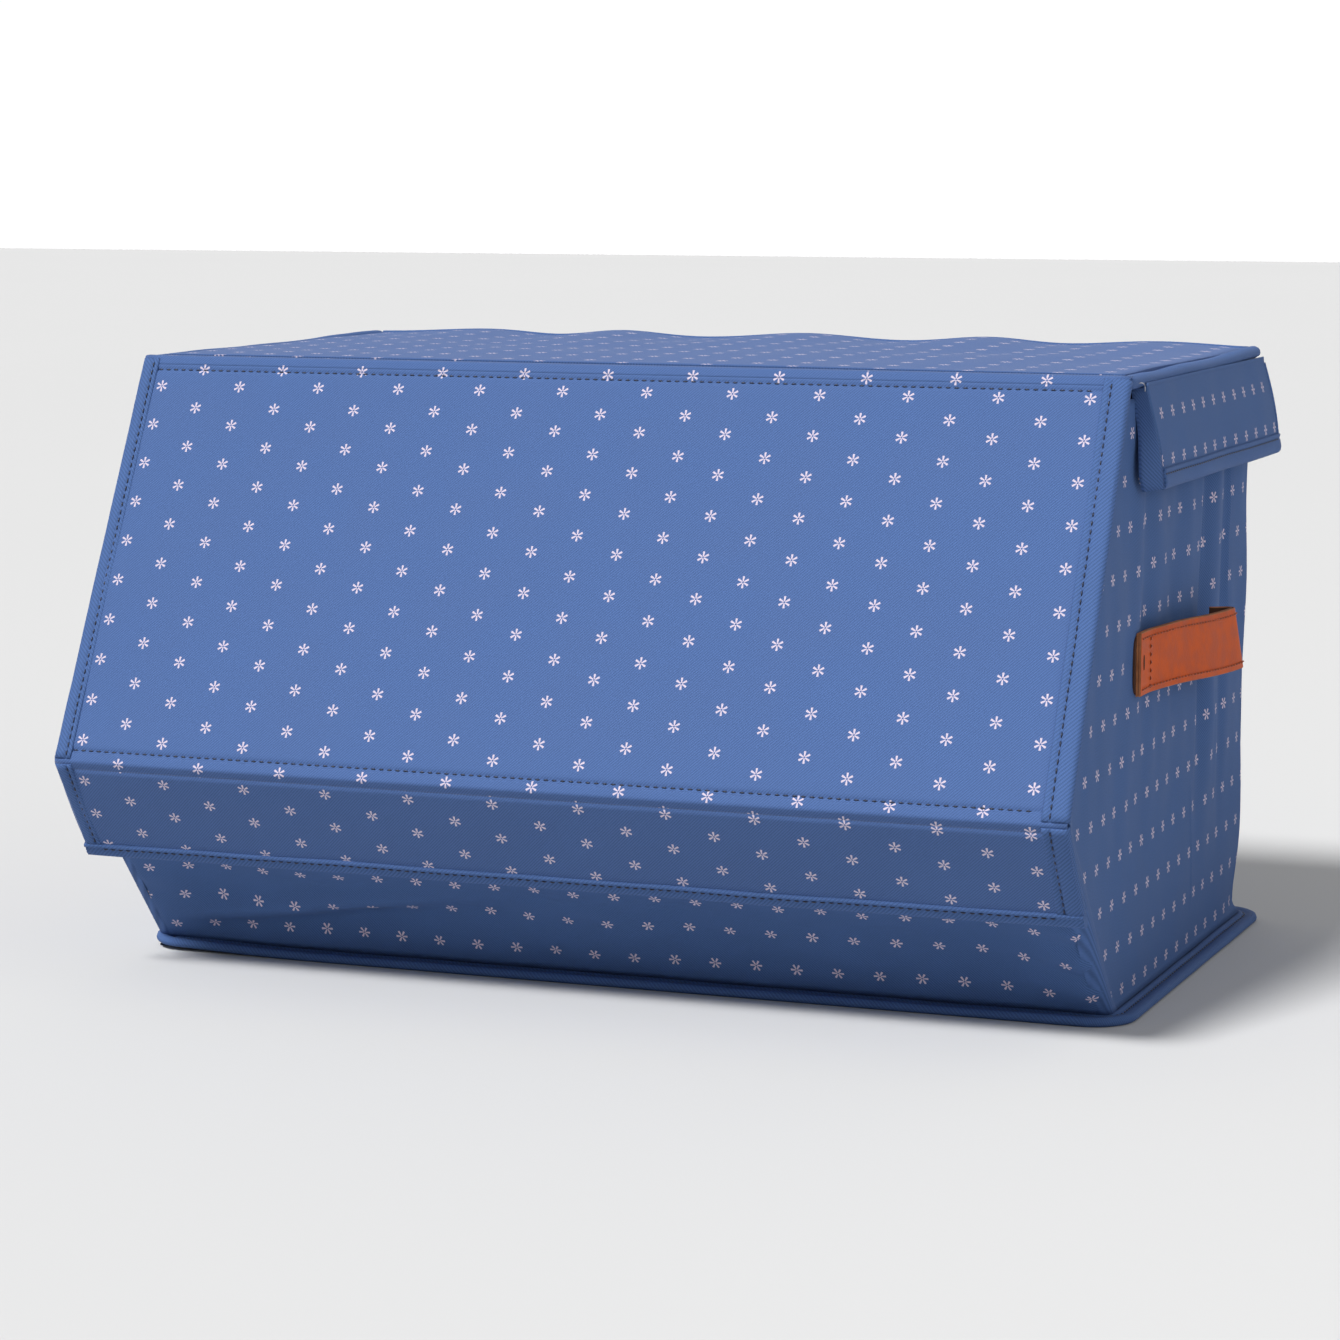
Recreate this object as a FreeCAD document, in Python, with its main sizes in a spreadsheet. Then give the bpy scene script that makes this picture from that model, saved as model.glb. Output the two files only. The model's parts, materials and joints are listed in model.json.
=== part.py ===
import FreeCAD
import Part
import math
import os
import Sketcher

# A soft storage box whose two sides fold inwards at mid height, so that the top comes straight down on the base.
# Millimetres. Origin at the centre of the base's underside, +Z up, front towards -Y.

dimensions = {
    "body_width": 500,          # outside of the side walls
    "foot_front": 136,          # wall line in front of the centre, at the base
    "foot_back": 136,           # back wall behind the centre
    "full_height": 301,         # top of the lid
    "lid_front": 132,           # front top edge of the lid, in front of the centre
    "panel_slant": 27.1,        # front panel from the vertical
    "panel_length": 215.4,      # front panel, along its outer face
    "flap_stand": 9.542,        # degrees between the lower flap and the slope of the low front wall
    "flap_length": 61.8,        # lower flap, along its outer face
    "lid_overhang": 4.5,        # lid's side edges beyond the side walls
    "wall_sheet": 1.6,          # fabric of the walls
    "cover_sheet": 1.0,         # outer fabric of the padded panels
    "board_sheet": 2.4,         # board inside the padded panels
    "lining_sheet": 0.8,        # inner fabric of the padded panels
    "rim_proud": 10,            # base rim beyond the walls
    "rim_thick": 4.5,           # base rim
    "rim_corner": 22,           # outer corner radius of the base rim
    "base_board_thick": 2.8,    # stiff board in the base
    "wire_diameter": 3.5,       # folding hoops
    "wire_inset": 8.5,          # hoop pivots, inside the outer face of the side walls
    "knee_offset": 2.6,         # crease pivot outside the line of the other two
    "wire_bend": 10,            # bend radius of the hoops
    "clip_half": 4,             # half the height of a hoop clip
    "clip_length": 12,
    "clip_pitch": 90,
    "eye_radius": 3.5,          # eyes at the crease
    "pin_diameter": 2.6,        # crease pins
    "run_gap": 0.05,            # radial running gap of pins and clips
    "gap": 0.4,                 # clearance between pieces that move past each other
    "rim_board_thick": 2.0,
    "rim_board_width": 15,
    "fold_gap": 3.6,            # from a fold line to the panels on each side
    "fold_band_radius": 2.6,
    "piping_radius": 3.5,
    "skirt_height": 48,         # side flap below its hinge
    "skirt_front": 105,         # front end of the side flap, in front of the centre
    "skirt_flare": 8,           # degrees that the side flap stands out
    "binding_width": 10,
    "binding_sheet": 0.7,
    "strap_width": 30,
    "strap_sheet": 1.2,         # each of the strap's two layers
    "strap_front": 100,         # front end of the strap, in front of the centre
    "strap_tab": 18,            # length of the strap's flat front end
    "strap_back": 37,           # back end of the strap, behind the centre
    "strap_bow": 13.3,          # how far the strap stands off at its back end
    "strap_drop": 0.6,          # lower edge of the strap above the crease
    "knee_band": 40,            # soft band below the crease
    "knee_band_up": 20,         # and above it, where the lower hoop swings past
    "stay_depth": 150,          # wire stay behind the front panel, down from the fold
    "stay_inset": 28,           # stay's legs, inside the side walls
    "stay_start": 9,            # upper ends of the stay's legs, below the fold
    "hook_width": 60,
    "hook_height": 16,
    "hook_sheet": 1.0,
    "hook_drop": 8,             # hook strips below the fold at mid height
    "loop_drop": 14,            # loop strips below the top of the low front wall
    "flap_hem": 8.5,            # height of the lower flap's hem
    "skirt_hem": 10,            # height of the side flap's hem
    "hem_sheet": 1.3,           # fabric hem on top of the rim board
    "seam_gap": 0.3,            # between pieces that are sewn close together
    "wire_behind": 4.5,         # middle of the hoops inside the front panel's inner face
    "eye_setback": 4.5,         # lower hoop's back eye, in front of the upper one's
    "eye_spread": 2.2,          # front eyes, each way from their middle
    "patch_margin": 4,          # leather patch in front of the strap's end
    "hinge_strip_inset": 10,
    "hinge_strip_drop": 25,     # fabric hinge of the lid, below the top frame
}


class Size:
    """A number together with the sheet expression that gives it."""

    def __init__(self, value, text=None):
        self.value = float(value)
        self.text = text or f"({float(value)!r})"

    def __add__(self, other):
        other = size_of(other)
        return Size(self.value + other.value, f"({self.text} + {other.text})")

    def __sub__(self, other):
        other = size_of(other)
        return Size(self.value - other.value, f"({self.text} - {other.text})")

    def __mul__(self, other):
        other = size_of(other)
        return Size(self.value * other.value, f"({self.text} * {other.text})")

    def __truediv__(self, other):
        other = size_of(other)
        return Size(self.value / other.value, f"({self.text} / {other.text})")

    def __neg__(self):
        return self * -1

    def __radd__(self, other):
        return size_of(other) + self

    def __rsub__(self, other):
        return size_of(other) - self

    __rmul__ = __mul__


def size_of(number):
    return number if isinstance(number, Size) else Size(number)


def sine(angle):
    return Size(math.sin(math.radians(angle.value)), f"sin({angle.text})")


def cosine(angle):
    return Size(math.cos(math.radians(angle.value)), f"cos({angle.text})")


def root(size):
    return Size(math.sqrt(size.value), f"sqrt({size.text})")


def slope(rise, run):
    """The angle whose tangent is rise / run, in degrees."""
    angle = math.degrees(math.atan2(rise.value, run.value))
    return Size(angle, f"(atan2({rise.text}; {run.text}) / 1deg)")


doc = FreeCAD.newDocument("storage_box")
sheet = doc.addObject("Spreadsheet::Sheet", "Dims")
for row, (alias, number) in enumerate(dimensions.items(), start=1):
    sheet.set(f"A{row}", alias)
    sheet.set(f"B{row}", str(number))
    sheet.setAlias(f"B{row}", alias)
doc.recompute()


def cell(alias):
    return Size(sheet.get(alias), f"Dims.{alias}")


def bind(thing, name, size):
    thing.setExpression(name, size_of(size).text)


class Frame:
    """A place turned about X or Y, in which pieces are laid out."""

    def __init__(self, origin=(0, 0, 0), about="X", angle=0):
        self.origin = [size_of(c) for c in origin]
        self.about = about
        self.angle = size_of(angle)

    def place(self, point):
        x, y, z = (size_of(c) for c in point)
        if self.angle.value:
            s, c = sine(self.angle), cosine(self.angle)
            if self.about == "X":
                y, z = y * c - z * s, y * s + z * c
            else:
                x, z = x * c + z * s, z * c - x * s
        return [a + b for a, b in zip(self.origin, (x, y, z))]

    def put(self, thing, corner=(0, 0, 0)):
        turn = FreeCAD.Vector(1, 0, 0) if self.about == "X" else FreeCAD.Vector(0, 1, 0)
        place = self.place(corner)
        spot = FreeCAD.Vector(*(c.value for c in place))
        thing.Placement = FreeCAD.Placement(spot, FreeCAD.Rotation(turn, self.angle.value))
        for name, size in zip("xyz", place):
            bind(thing, f"Placement.Base.{name}", size)


upright = Frame()
nodes = []


def node(thing, label):
    thing.Label = label
    nodes.append(thing)
    return thing


def block(name, low, high, frame=upright):
    thing = doc.addObject("Part::Box", name)
    low = [size_of(c) for c in low]
    high = [size_of(c) for c in high]
    for side, a, b in zip(("Length", "Width", "Height"), low, high):
        bind(thing, side, b - a)
    frame.put(thing, low)
    return thing


def plate(label, low, high, frame=upright):
    return node(block(label, low, high, frame), label)


def mirrored(side, low, high):
    """The x range of a piece on the right (+1) or left (-1) side."""
    return (low, high) if side > 0 else (-size_of(high), -size_of(low))


def rod(name, start, direction, length, radius):
    thing = doc.addObject("Part::Cylinder", name)
    bind(thing, "Radius", radius)
    bind(thing, "Height", length)
    start = [size_of(c) for c in start]
    turn = FreeCAD.Rotation(FreeCAD.Vector(0, 0, 1), FreeCAD.Vector(*direction))
    thing.Placement = FreeCAD.Placement(FreeCAD.Vector(*(c.value for c in start)), turn)
    for axis, size in zip("xyz", start):
        bind(thing, f"Placement.Base.{axis}", size)
    return thing


def cut(label, whole, tools):
    gone = fuse(f"{label}_tools", tools)
    thing = doc.addObject("Part::Cut", label)
    thing.Base = whole
    thing.Tool = gone
    return thing


def fuse(name, things):
    if len(things) == 1:
        return things[0]
    thing = doc.addObject("Part::MultiFuse", name)
    thing.Shapes = things
    return thing


def origin_plane(body, role):
    return next(f for f in body.Origin.OriginFeatures if f.Role == role)


def outline_sketch(body, name, outline, plane):
    """A closed outline; every corner is held to the sheet by its two distances from the origin."""
    sketch = body.newObject("Sketcher::SketchObject", name)
    sketch.AttachmentSupport = [(origin_plane(body, plane), "")]
    sketch.MapMode = "FlatFace"
    corners = [(size_of(a), size_of(b)) for a, b in outline]
    count = len(corners)
    for k, (a, b) in enumerate(corners):
        c, d = corners[(k + 1) % count]
        first = FreeCAD.Vector(a.value, b.value, 0)
        sketch.addGeometry(Part.LineSegment(first, FreeCAD.Vector(c.value, d.value, 0)))
    for k in range(count):
        sketch.addConstraint(Sketcher.Constraint("Coincident", k, 2, (k + 1) % count, 1))
    for k, pair in enumerate(corners):
        for kind, size in zip(("DistanceX", "DistanceY"), pair):
            held = sketch.addConstraint(Sketcher.Constraint(kind, -1, 1, k, 1, size.value))
            sketch.setExpression(f"Constraints[{held}]", size.text)
    return sketch


def prism(label, outline, plane, thickness, start):
    """A padded outline, moved so that its plane passes through start."""
    body = doc.addObject("PartDesign::Body", label)
    sketch = outline_sketch(body, f"{label}_outline", outline, plane)
    pad = body.newObject("PartDesign::Pad", f"{label}_pad")
    pad.Profile = sketch
    bind(pad, "Length", thickness)
    upright.put(body, start)
    return node(body, label)


def rounded_path(points, radius):
    """Straight runs through the points, joined by arcs that are tangent to them."""
    points = [FreeCAD.Vector(*p) for p in points]
    edges = []
    last = points[0]
    for before, corner, after in zip(points, points[1:], points[2:]):
        back = (before - corner).normalize()
        ahead = (after - corner).normalize()
        half = back.getAngle(ahead) / 2
        reach = radius / math.tan(half)
        middle = (back + ahead).normalize()
        inner = corner + middle * (radius / math.sin(half) - radius)
        edges.append(Part.makeLine(last, corner + back * reach))
        edges.append(Part.Arc(corner + back * reach, inner, corner + ahead * reach).toShape())
        last = corner + ahead * reach
    edges.append(Part.makeLine(last, points[-1]))
    return Part.Wire(edges)


def bent_wire(points, bend, radius):
    spine = rounded_path(points, bend)
    start = FreeCAD.Vector(*points[0])
    along = FreeCAD.Vector(*points[1]) - start
    ring = Part.Wire(Part.makeCircle(radius, start, along))
    return spine.makePipeShell([ring], True, False)


def feature(label, shape):
    thing = doc.addObject("Part::Feature", label)
    thing.Shape = shape
    return node(thing, label)


# ---- levels and lines that several pieces share
half_width = cell("body_width") / 2
lid_half = half_width + cell("lid_overhang")
front = cell("foot_front")
back = cell("foot_back")
gap = cell("gap")
seam = cell("seam_gap")
wire_behind = cell("wire_behind")
sheet_thick = cell("wall_sheet")
cover, board, lining = cell("cover_sheet"), cell("board_sheet"), cell("lining_sheet")
panel_thick = cover + board + lining
mid = panel_thick / 2
top = cell("full_height")
base_top = cell("rim_thick")
wire_radius = cell("wire_diameter") / 2
pivot_x = half_width - cell("wire_inset")
knee_x = pivot_x + cell("knee_offset")
rim_low = top - panel_thick - 0.5 - cell("rim_board_thick") - cell("hem_sheet")
low_pivot_z = base_top + cell("clip_half")
top_pivot_z = rim_low - cell("clip_half")
knee_z = (low_pivot_z + top_pivot_z) / 2
wall_low = base_top + seam
wall_high = rim_low - 0.5
slant = cell("panel_slant")
# outer corner points of the front profile (y, z)
brow = (-cell("lid_front"), top)
bulge = (brow[0] - cell("panel_length") * sine(slant), top - cell("panel_length") * cosine(slant))
# lower flap from the vertical, tucked inwards
tuck = slope(-front - bulge[0], bulge[1] - base_top) - cell("flap_stand")


def behind_panel(depth, z):
    """The y of the line that lies depth inside the front panel's outer face, at height z."""
    return brow[0] + depth / cosine(slant) - (top - z) * sine(slant) / cosine(slant)


def knuckle(depth):
    """The corner of the front profile, moved inside both the panel and the flap by depth."""
    share = depth / (1 + cosine(slant + tuck))
    return (
        bulge[0] + share * (cosine(slant) + cosine(tuck)),
        bulge[1] - share * (sine(slant) - sine(tuck)),
    )


def foot_line(depth, z):
    """The y of the low front wall's outer line, moved in by depth, at height z."""
    corner = knuckle(panel_thick + gap)
    rise = (corner[0] + front) / (corner[1] - base_top)
    return -front + depth * root(rise * rise + 1) + (z - base_top) * rise


fold_y = brow[0] + mid * (1 - sine(slant)) / cosine(slant)
fold_z = top - mid
second_fold = knuckle(mid)
panel_mid = (fold_z - second_fold[1]) / cosine(slant)
flap_mid = cell("flap_length") - mid * sine((slant + tuck) / 2) / cosine((slant + tuck) / 2)
panel_frame = Frame((0, fold_y, fold_z), "X", 90 - slant)
flap_frame = Frame((0, *second_fold), "X", 90 + tuck)
near = cell("fold_gap")
print("fold line", fold_y.value, fold_z.value, "second fold", second_fold[0].value, second_fold[1].value)
print("pivots", pivot_x.value, low_pivot_z.value, knee_x.value, knee_z.value, top_pivot_z.value)

# ---- base
inner_x, inner_front, inner_back = half_width - 0.4, front - 0.4, back - 0.4
plate("base_cover", (-inner_x, -inner_front, 0), (inner_x, inner_back, cover))
board_top = cover + cell("base_board_thick")
plate("base_board", (-inner_x + 3, -inner_front + 3, cover), (inner_x - 3, inner_back - 3, board_top))
plate("base_lining", (-inner_x + 3, -inner_front + 3, board_top), (inner_x - 3, inner_back - 3, base_top))


def edges_along(shape, direction):
    found = []
    for number, edge in enumerate(shape.Edges, start=1):
        if len(edge.Vertexes) == 2:
            run = edge.Vertexes[1].Point - edge.Vertexes[0].Point
            if run.cross(FreeCAD.Vector(*direction)).Length < 1e-6:
                found.append(f"Edge{number}")
    return found


def base_rim():
    body = doc.addObject("PartDesign::Body", "base_rim_binding")
    proud = cell("rim_proud")
    sizes = []
    for name, grow in (("outer", proud), ("inner", Size(-0.1))):
        x, y1, y2 = half_width + grow, -front - grow, back + grow
        corners = [(-x, y1), (x, y1), (x, y2), (-x, y2)]
        sizes.append(outline_sketch(body, f"rim_{name}", corners, "XY_Plane"))
    pad = body.newObject("PartDesign::Pad", "rim_pad")
    pad.Profile = sizes[0]
    bind(pad, "Length", base_top)
    doc.recompute()
    corner = body.newObject("PartDesign::Fillet", "rim_corners")
    corner.Base = (pad, edges_along(pad.Shape, (0, 0, 1)))
    bind(corner, "Radius", cell("rim_corner"))
    doc.recompute()
    whole = corner.Shape.Volume
    pocket = body.newObject("PartDesign::Pocket", "rim_inside")
    pocket.Profile = sizes[1]
    pocket.Type = 1
    pocket.Reversed = True
    doc.recompute()
    if pocket.Shape.Volume > 0.5 * whole:
        raise SystemExit("the rim's inside was not cut")
    return node(body, "base_rim_binding")


base_rim()


def clips(label, side, pivot_z):
    """Three saddles that hold a hoop's straight bar, with a running bore through each."""
    half, length = cell("clip_half"), cell("clip_length")
    parts = []
    for place in (-1, 0, 1):
        centre = cell("clip_pitch") * place
        name = f"{label}_{place + 1}"
        x1, x2 = mirrored(side, pivot_x - half - 0.5, pivot_x + half + 0.5)
        whole = block(f"{name}_block", (x1, centre - length / 2, pivot_z - half),
                      (x2, centre + length / 2, pivot_z + half))
        bore = rod(f"{name}_bore", (pivot_x * side, centre - length, pivot_z), (0, 1, 0),
                   length * 2, wire_radius + cell("run_gap"))
        parts.append(cut(name, whole, [bore]))
    return node(fuse(label, parts), label)


def hoop(label, side, bar_z, eye_shift):
    """A bent wire with a straight bar at bar_z and an eye at each end, at the crease."""
    x = pivot_x.value * side
    is_low = bar_z.value < knee_z.value
    inset = panel_thick + gap + wire_behind
    back_y = (back - sheet_thick - gap - wire_radius - 0.15 - eye_shift).value
    spread = cell("eye_spread").value
    front_y = behind_panel(inset + 3, knee_z).value - (spread if is_low else -spread)
    points = [(x, back_y, knee_z.value), (x, back_y, bar_z.value)]
    if is_low:
        points.append((x, foot_line(wire_behind, low_pivot_z).value, bar_z.value))
        corner = knuckle(inset)
        points.append((x, corner[0].value, corner[1].value))
    else:
        points.append((x, behind_panel(inset, top_pivot_z).value, bar_z.value))
    points.append((x, front_y, knee_z.value))
    wire = bent_wire(points, cell("wire_bend").value, wire_radius.value)
    along = FreeCAD.Vector(0, 1, 0)
    thick = 2 * wire_radius.value
    shape = wire
    for y in (back_y, front_y):
        spot = FreeCAD.Vector(knee_x.value * side, y - thick / 2, knee_z.value)
        shape = shape.fuse(Part.makeCylinder(cell("eye_radius").value, thick, spot, along))
        bore = (cell("pin_diameter") / 2 + cell("run_gap")).value
        shape = shape.cut(Part.makeCylinder(bore, thick + 4, spot - along * 2, along))
    feature(label, shape.removeSplitter())
    return back_y, front_y


def wall_outline(low, high):
    """The side wall between two heights, behind the front panel and the flap (y, z)."""
    depth = panel_thick + gap
    corner = knuckle(depth)
    back_y = back - sheet_thick - seam
    points = [(back_y, low), (back_y, high)]
    if high.value > corner[1].value:
        points.append((behind_panel(depth, high), high))
    else:
        points.append((foot_line(Size(0), high), high))
    if low.value < corner[1].value < high.value:
        points.append(corner)
    if low.value < corner[1].value:
        points.append((foot_line(Size(0), low), low))
    else:
        points.append((behind_panel(depth, low), low))
    return points


def side_wall(word, side):
    low_y = hoop(f"{word}_hoop_lower", side, low_pivot_z, cell("eye_setback"))
    high_y = hoop(f"{word}_hoop_upper", side, top_pivot_z, Size(0))
    pins = []
    for k, (a, b) in enumerate(zip(low_y, high_y)):
        start = min(a, b) - wire_radius.value
        run = abs(a - b) + 2 * wire_radius.value
        pins.append(rod(f"{word}_pin_{k}", (knee_x * side, start, knee_z), (0, 1, 0), run,
                        cell("pin_diameter") / 2))
    node(fuse(f"{word}_crease_pins", pins), f"{word}_crease_pins")
    x1, x2 = mirrored(side, half_width - sheet_thick, half_width)
    band_low = knee_z - cell("knee_band")
    sheets = {
        "wall_lower": (wall_low, band_low),
        "wall_crease": (band_low, knee_z + cell("knee_band_up")),
        "wall_upper": (knee_z + cell("knee_band_up") + seam, wall_high),
    }
    for name, (low, high) in sheets.items():
        prism(f"{word}_{name}", wall_outline(low, high), "YZ_Plane", x2 - x1, start=(x1, 0, 0))


def ribbon(points, bend, inner, outer, width):
    """A flat strip on edge: it follows the points, between two distances to the right of the path."""
    spine = rounded_path(points, bend)
    start = FreeCAD.Vector(*points[0])
    along = (FreeCAD.Vector(*points[1]) - start).normalize()
    across = along.cross(FreeCAD.Vector(0, 0, 1))
    rise = FreeCAD.Vector(0, 0, width)
    near_side, far_side = start + across * inner, start + across * outer
    corners = [near_side, far_side, far_side + rise, near_side + rise, near_side]
    return spine.makePipeShell([Part.makePolygon(corners)], True, False)


def handle(word, side):
    """A two-layer leather strap: flat stitched ends on a patch, and the part between them that lifts."""
    low = knee_z + cell("strap_drop")
    high = low + cell("strap_width")
    layer = cell("strap_sheet")
    face = half_width + 1.0
    start, stop = -cell("strap_front"), cell("strap_back")
    tab_end = start + cell("strap_tab")
    x1, x2 = mirrored(side, half_width + seam, face)
    patch = block(f"{word}_handle_patch", (x1, start - cell("patch_margin"), low), (x2, tab_end + 1.5, high + 1))
    x1, x2 = mirrored(side, face, face + 2 * layer)
    tab = block(f"{word}_front_tab", (x1, start, low), (x2, tab_end, high))
    x1, x2 = mirrored(side, half_width + seam, face + 2 * layer)
    heel = block(f"{word}_back_tab", (x1, stop - 5, low), (x2, stop + 3, high))
    node(fuse(f"{word}_handle_ends", [patch, tab, heel]), f"{word}_handle_ends")
    x = (face + layer + 0.4).value
    bow = cell("strap_bow").value
    path = [
        (x * side, (tab_end + 0.4).value, low.value),
        ((x + bow) * side, (stop + 1).value, low.value),
        ((face + 2 * layer + 1.7).value * side, (stop - 2).value, low.value),
    ]
    for name, inner, outer in (("strap", 0.02, layer.value), ("lining", -layer.value, -0.02)):
        shape = ribbon(path, 4.0, inner * side, outer * side, cell("strap_width").value)
        feature(f"{word}_handle_{name}", shape)


for word, side in (("right", 1), ("left", -1)):
    clips(f"base_clips_{word}", side, low_pivot_z)
    clips(f"top_clips_{word}", side, top_pivot_z)
    side_wall(word, side)
    handle(word, side)

# ---- soft back wall and low front wall
plate("back_wall", (-half_width, back - sheet_thick, wall_low), (half_width, back, wall_high))
front_half = half_width - sheet_thick - seam
front_top = knuckle(panel_thick + gap)[1] - 1
prism("front_wall", [
    (foot_line(Size(0), wall_low), wall_low),
    (foot_line(Size(0), front_top), front_top),
    (foot_line(sheet_thick, front_top), front_top),
    (foot_line(sheet_thick, wall_low), wall_low),
], "YZ_Plane", front_half * 2, start=(-front_half, 0, 0))
hook = cell("hook_width")
loop_high = front_top - cell("loop_drop")
loop_low = loop_high - cell("hook_height")
run_out = (foot_line(Size(0), loop_low) - foot_line(Size(0), loop_high)).value
lean = Size(math.degrees(math.atan2(run_out, (loop_high - loop_low).value)))
loop_frame = Frame((0, foot_line(Size(0), loop_low), loop_low), "X", lean)
loops = []
for k, centre in enumerate((-hook * 2, hook * 2)):
    face = -cell("hook_sheet") - 0.1
    loops.append(block(f"loop_{k}", (centre - hook / 2, face, 0),
                       (centre + hook / 2, face + cell("hook_sheet"), cell("hook_height")), loop_frame))
node(fuse("loop_strips", loops), "loop_strips")

# ---- top frame
rim_out = half_width - 2.7
rim_front = -cell("lid_front") + 4
rim_board_top = rim_low + cell("rim_board_thick")


def ring(label, low, high, inset):
    outer = block(f"{label}_outer", (-rim_out + inset, rim_front + inset, low),
                  (rim_out - inset, back - sheet_thick - inset, high))
    width = cell("rim_board_width")
    hole = block(f"{label}_hole", (-rim_out + width, rim_front + width, low - 1),
                 (rim_out - width, back - sheet_thick - width, high + 1))
    return node(cut(label, outer, [hole]), label)


ring("top_rim_board", rim_low, rim_board_top, 0.5)
ring("top_hem", rim_board_top, rim_board_top + cell("hem_sheet"), 0)
strip_x = half_width - cell("hinge_strip_inset")
strip_y = back + seam
plate("lid_hinge_strip", (-strip_x, strip_y, rim_low - cell("hinge_strip_drop")), (strip_x, strip_y + lining, rim_low + 3))

# ---- lid top
lid_in = half_width - 2.5
lid_edge = fold_y + near
plate("lid_cover", (-lid_in, lid_edge, top - cover), (lid_in, back, top))
plate("lid_board", (-lid_in + 1, lid_edge + 1, top - cover - board), (lid_in - 1, back - 1, top - cover))
plate("lid_lining", (-lid_in, lid_edge, top - panel_thick), (lid_in, back, top - cover - board))
pipe = cell("piping_radius")
for word, side in (("right", 1), ("left", -1)):
    run = back - lid_edge
    piping = rod(f"{word}_piping", ((lid_half - pipe) * side, lid_edge, top - pipe), (0, 1, 0), run, pipe)
    node(piping, f"{word}_piping")

# ---- fold bands, front panel and lower flap
band = cell("fold_band_radius")
node(rod("front_fold_band", (-lid_half + 2, fold_y, fold_z), (1, 0, 0), lid_half * 2 - 4, band), "front_fold_band")
node(rod("middle_fold_band", (-lid_half + 2, *second_fold), (1, 0, 0), lid_half * 2 - 4, band), "middle_fold_band")
stay_x = (half_width - cell("stay_inset")).value
stay_w = -(mid + gap + wire_radius).value


def behind_fold(x, down):
    """A point of the stay, down from the fold line and just behind the front panel."""
    spot = panel_frame.place((x, -down, stay_w))
    return tuple(c.value for c in spot)


stay_start, stay_depth = cell("stay_start").value, cell("stay_depth").value
stay_path = [behind_fold(x, down) for x, down in
             ((-stay_x, stay_start), (-stay_x, stay_depth), (stay_x, stay_depth), (stay_x, stay_start))]
feature("front_stay_wire", bent_wire(stay_path, cell("wire_bend").value, wire_radius.value))
side_wide = cell("binding_width")
edge = cell("binding_sheet")


def padded_panel(word, frame, start, end):
    """Outer cover, board and lining, with a turned binding down each side edge."""
    x = lid_half - edge
    plate(f"{word}_cover", (-x, -end, mid - cover), (x, -start, mid), frame)
    plate(f"{word}_board", (-x + 3, -end + 1, mid - cover - board), (x - 3, -start, mid - cover), frame)
    plate(f"{word}_lining", (-x, -end, -mid), (x, -start, mid - cover - board), frame)
    for name, side in (("right", 1), ("left", -1)):
        x1, x2 = mirrored(side, lid_half - side_wide, lid_half)
        y1, y2 = mirrored(side, x, lid_half)
        leg = block(f"{word}_leg_{name}", (x1, -end, mid), (x2, -start, mid + edge), frame)
        turn = block(f"{word}_turn_{name}", (y1, -end, -mid), (y2, -start, mid + edge), frame)
        label = f"{word}_binding_{name}"
        node(fuse(label, [leg, turn]), label)


padded_panel("front", panel_frame, near, panel_mid - near)
hem = cell("flap_hem")
padded_panel("flap", flap_frame, near, flap_mid - hem)
hem_leg = block("hem_face", (-lid_half, -flap_mid, -mid), (lid_half, -flap_mid + hem, mid + edge), flap_frame)
node(hem_leg, "flap_hem")
hook_top = -cell("hook_drop")
hook_low = hook_top - cell("hook_height")
hooks = [block(f"hook_{k}", (centre - hook / 2, hook_low, -mid - cell("hook_sheet")),
               (centre + hook / 2, hook_top, -mid), flap_frame)
         for k, centre in enumerate((-hook * 2, hook * 2))]
node(fuse("flap_hook_strips", hooks), "flap_hook_strips")

# ---- side flaps
skirt_axis_x = lid_half + 0.4
skirt_axis_z = top - pipe - 3.0
print("side flap hinge", skirt_axis_x.value, skirt_axis_z.value)
for word, side in (("right", 1), ("left", -1)):
    frame = Frame((skirt_axis_x * side, 0, skirt_axis_z), "Y", cell("skirt_flare") * -side)
    depth = cell("skirt_height")
    hem_top = depth - cell("skirt_hem")

    def layer(label, x_low, x_high, bottom, ends):
        x1, x2 = mirrored(side, x_low, x_high)
        low = (x1, -cell("skirt_front") + ends, -bottom)
        plate(label, low, (x2, back - ends, Size(-1.5)), frame)

    layer(f"{word}_skirt_cover", -0.4, 0.6, depth, Size(0))
    layer(f"{word}_skirt_board", -1.4, -0.4, hem_top, Size(2))
    layer(f"{word}_skirt_lining", -2.0, -1.4, depth, Size(0))
    x1, x2 = mirrored(side, -1.4, -0.4)
    plate(f"{word}_skirt_hem", (x1, -cell("skirt_front"), -depth), (x2, back, -hem_top), frame)

# ---- check and write
doc.recompute()
faults = [thing.Name for thing in doc.Objects if {"Invalid", "Error"} & set(thing.State)]
for thing in nodes:
    if thing.Shape.isNull() or not thing.Shape.isValid():
        faults.append(thing.Label)
if faults:
    raise SystemExit(f"failed: {faults}")
os.makedirs("parts", exist_ok=True)
for thing in nodes:
    thing.Shape.exportStep(f"parts/{thing.Label}.step")
print(len(nodes), "nodes")
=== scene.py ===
import json
import math
import bmesh
import bpy
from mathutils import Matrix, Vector, noise


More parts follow.
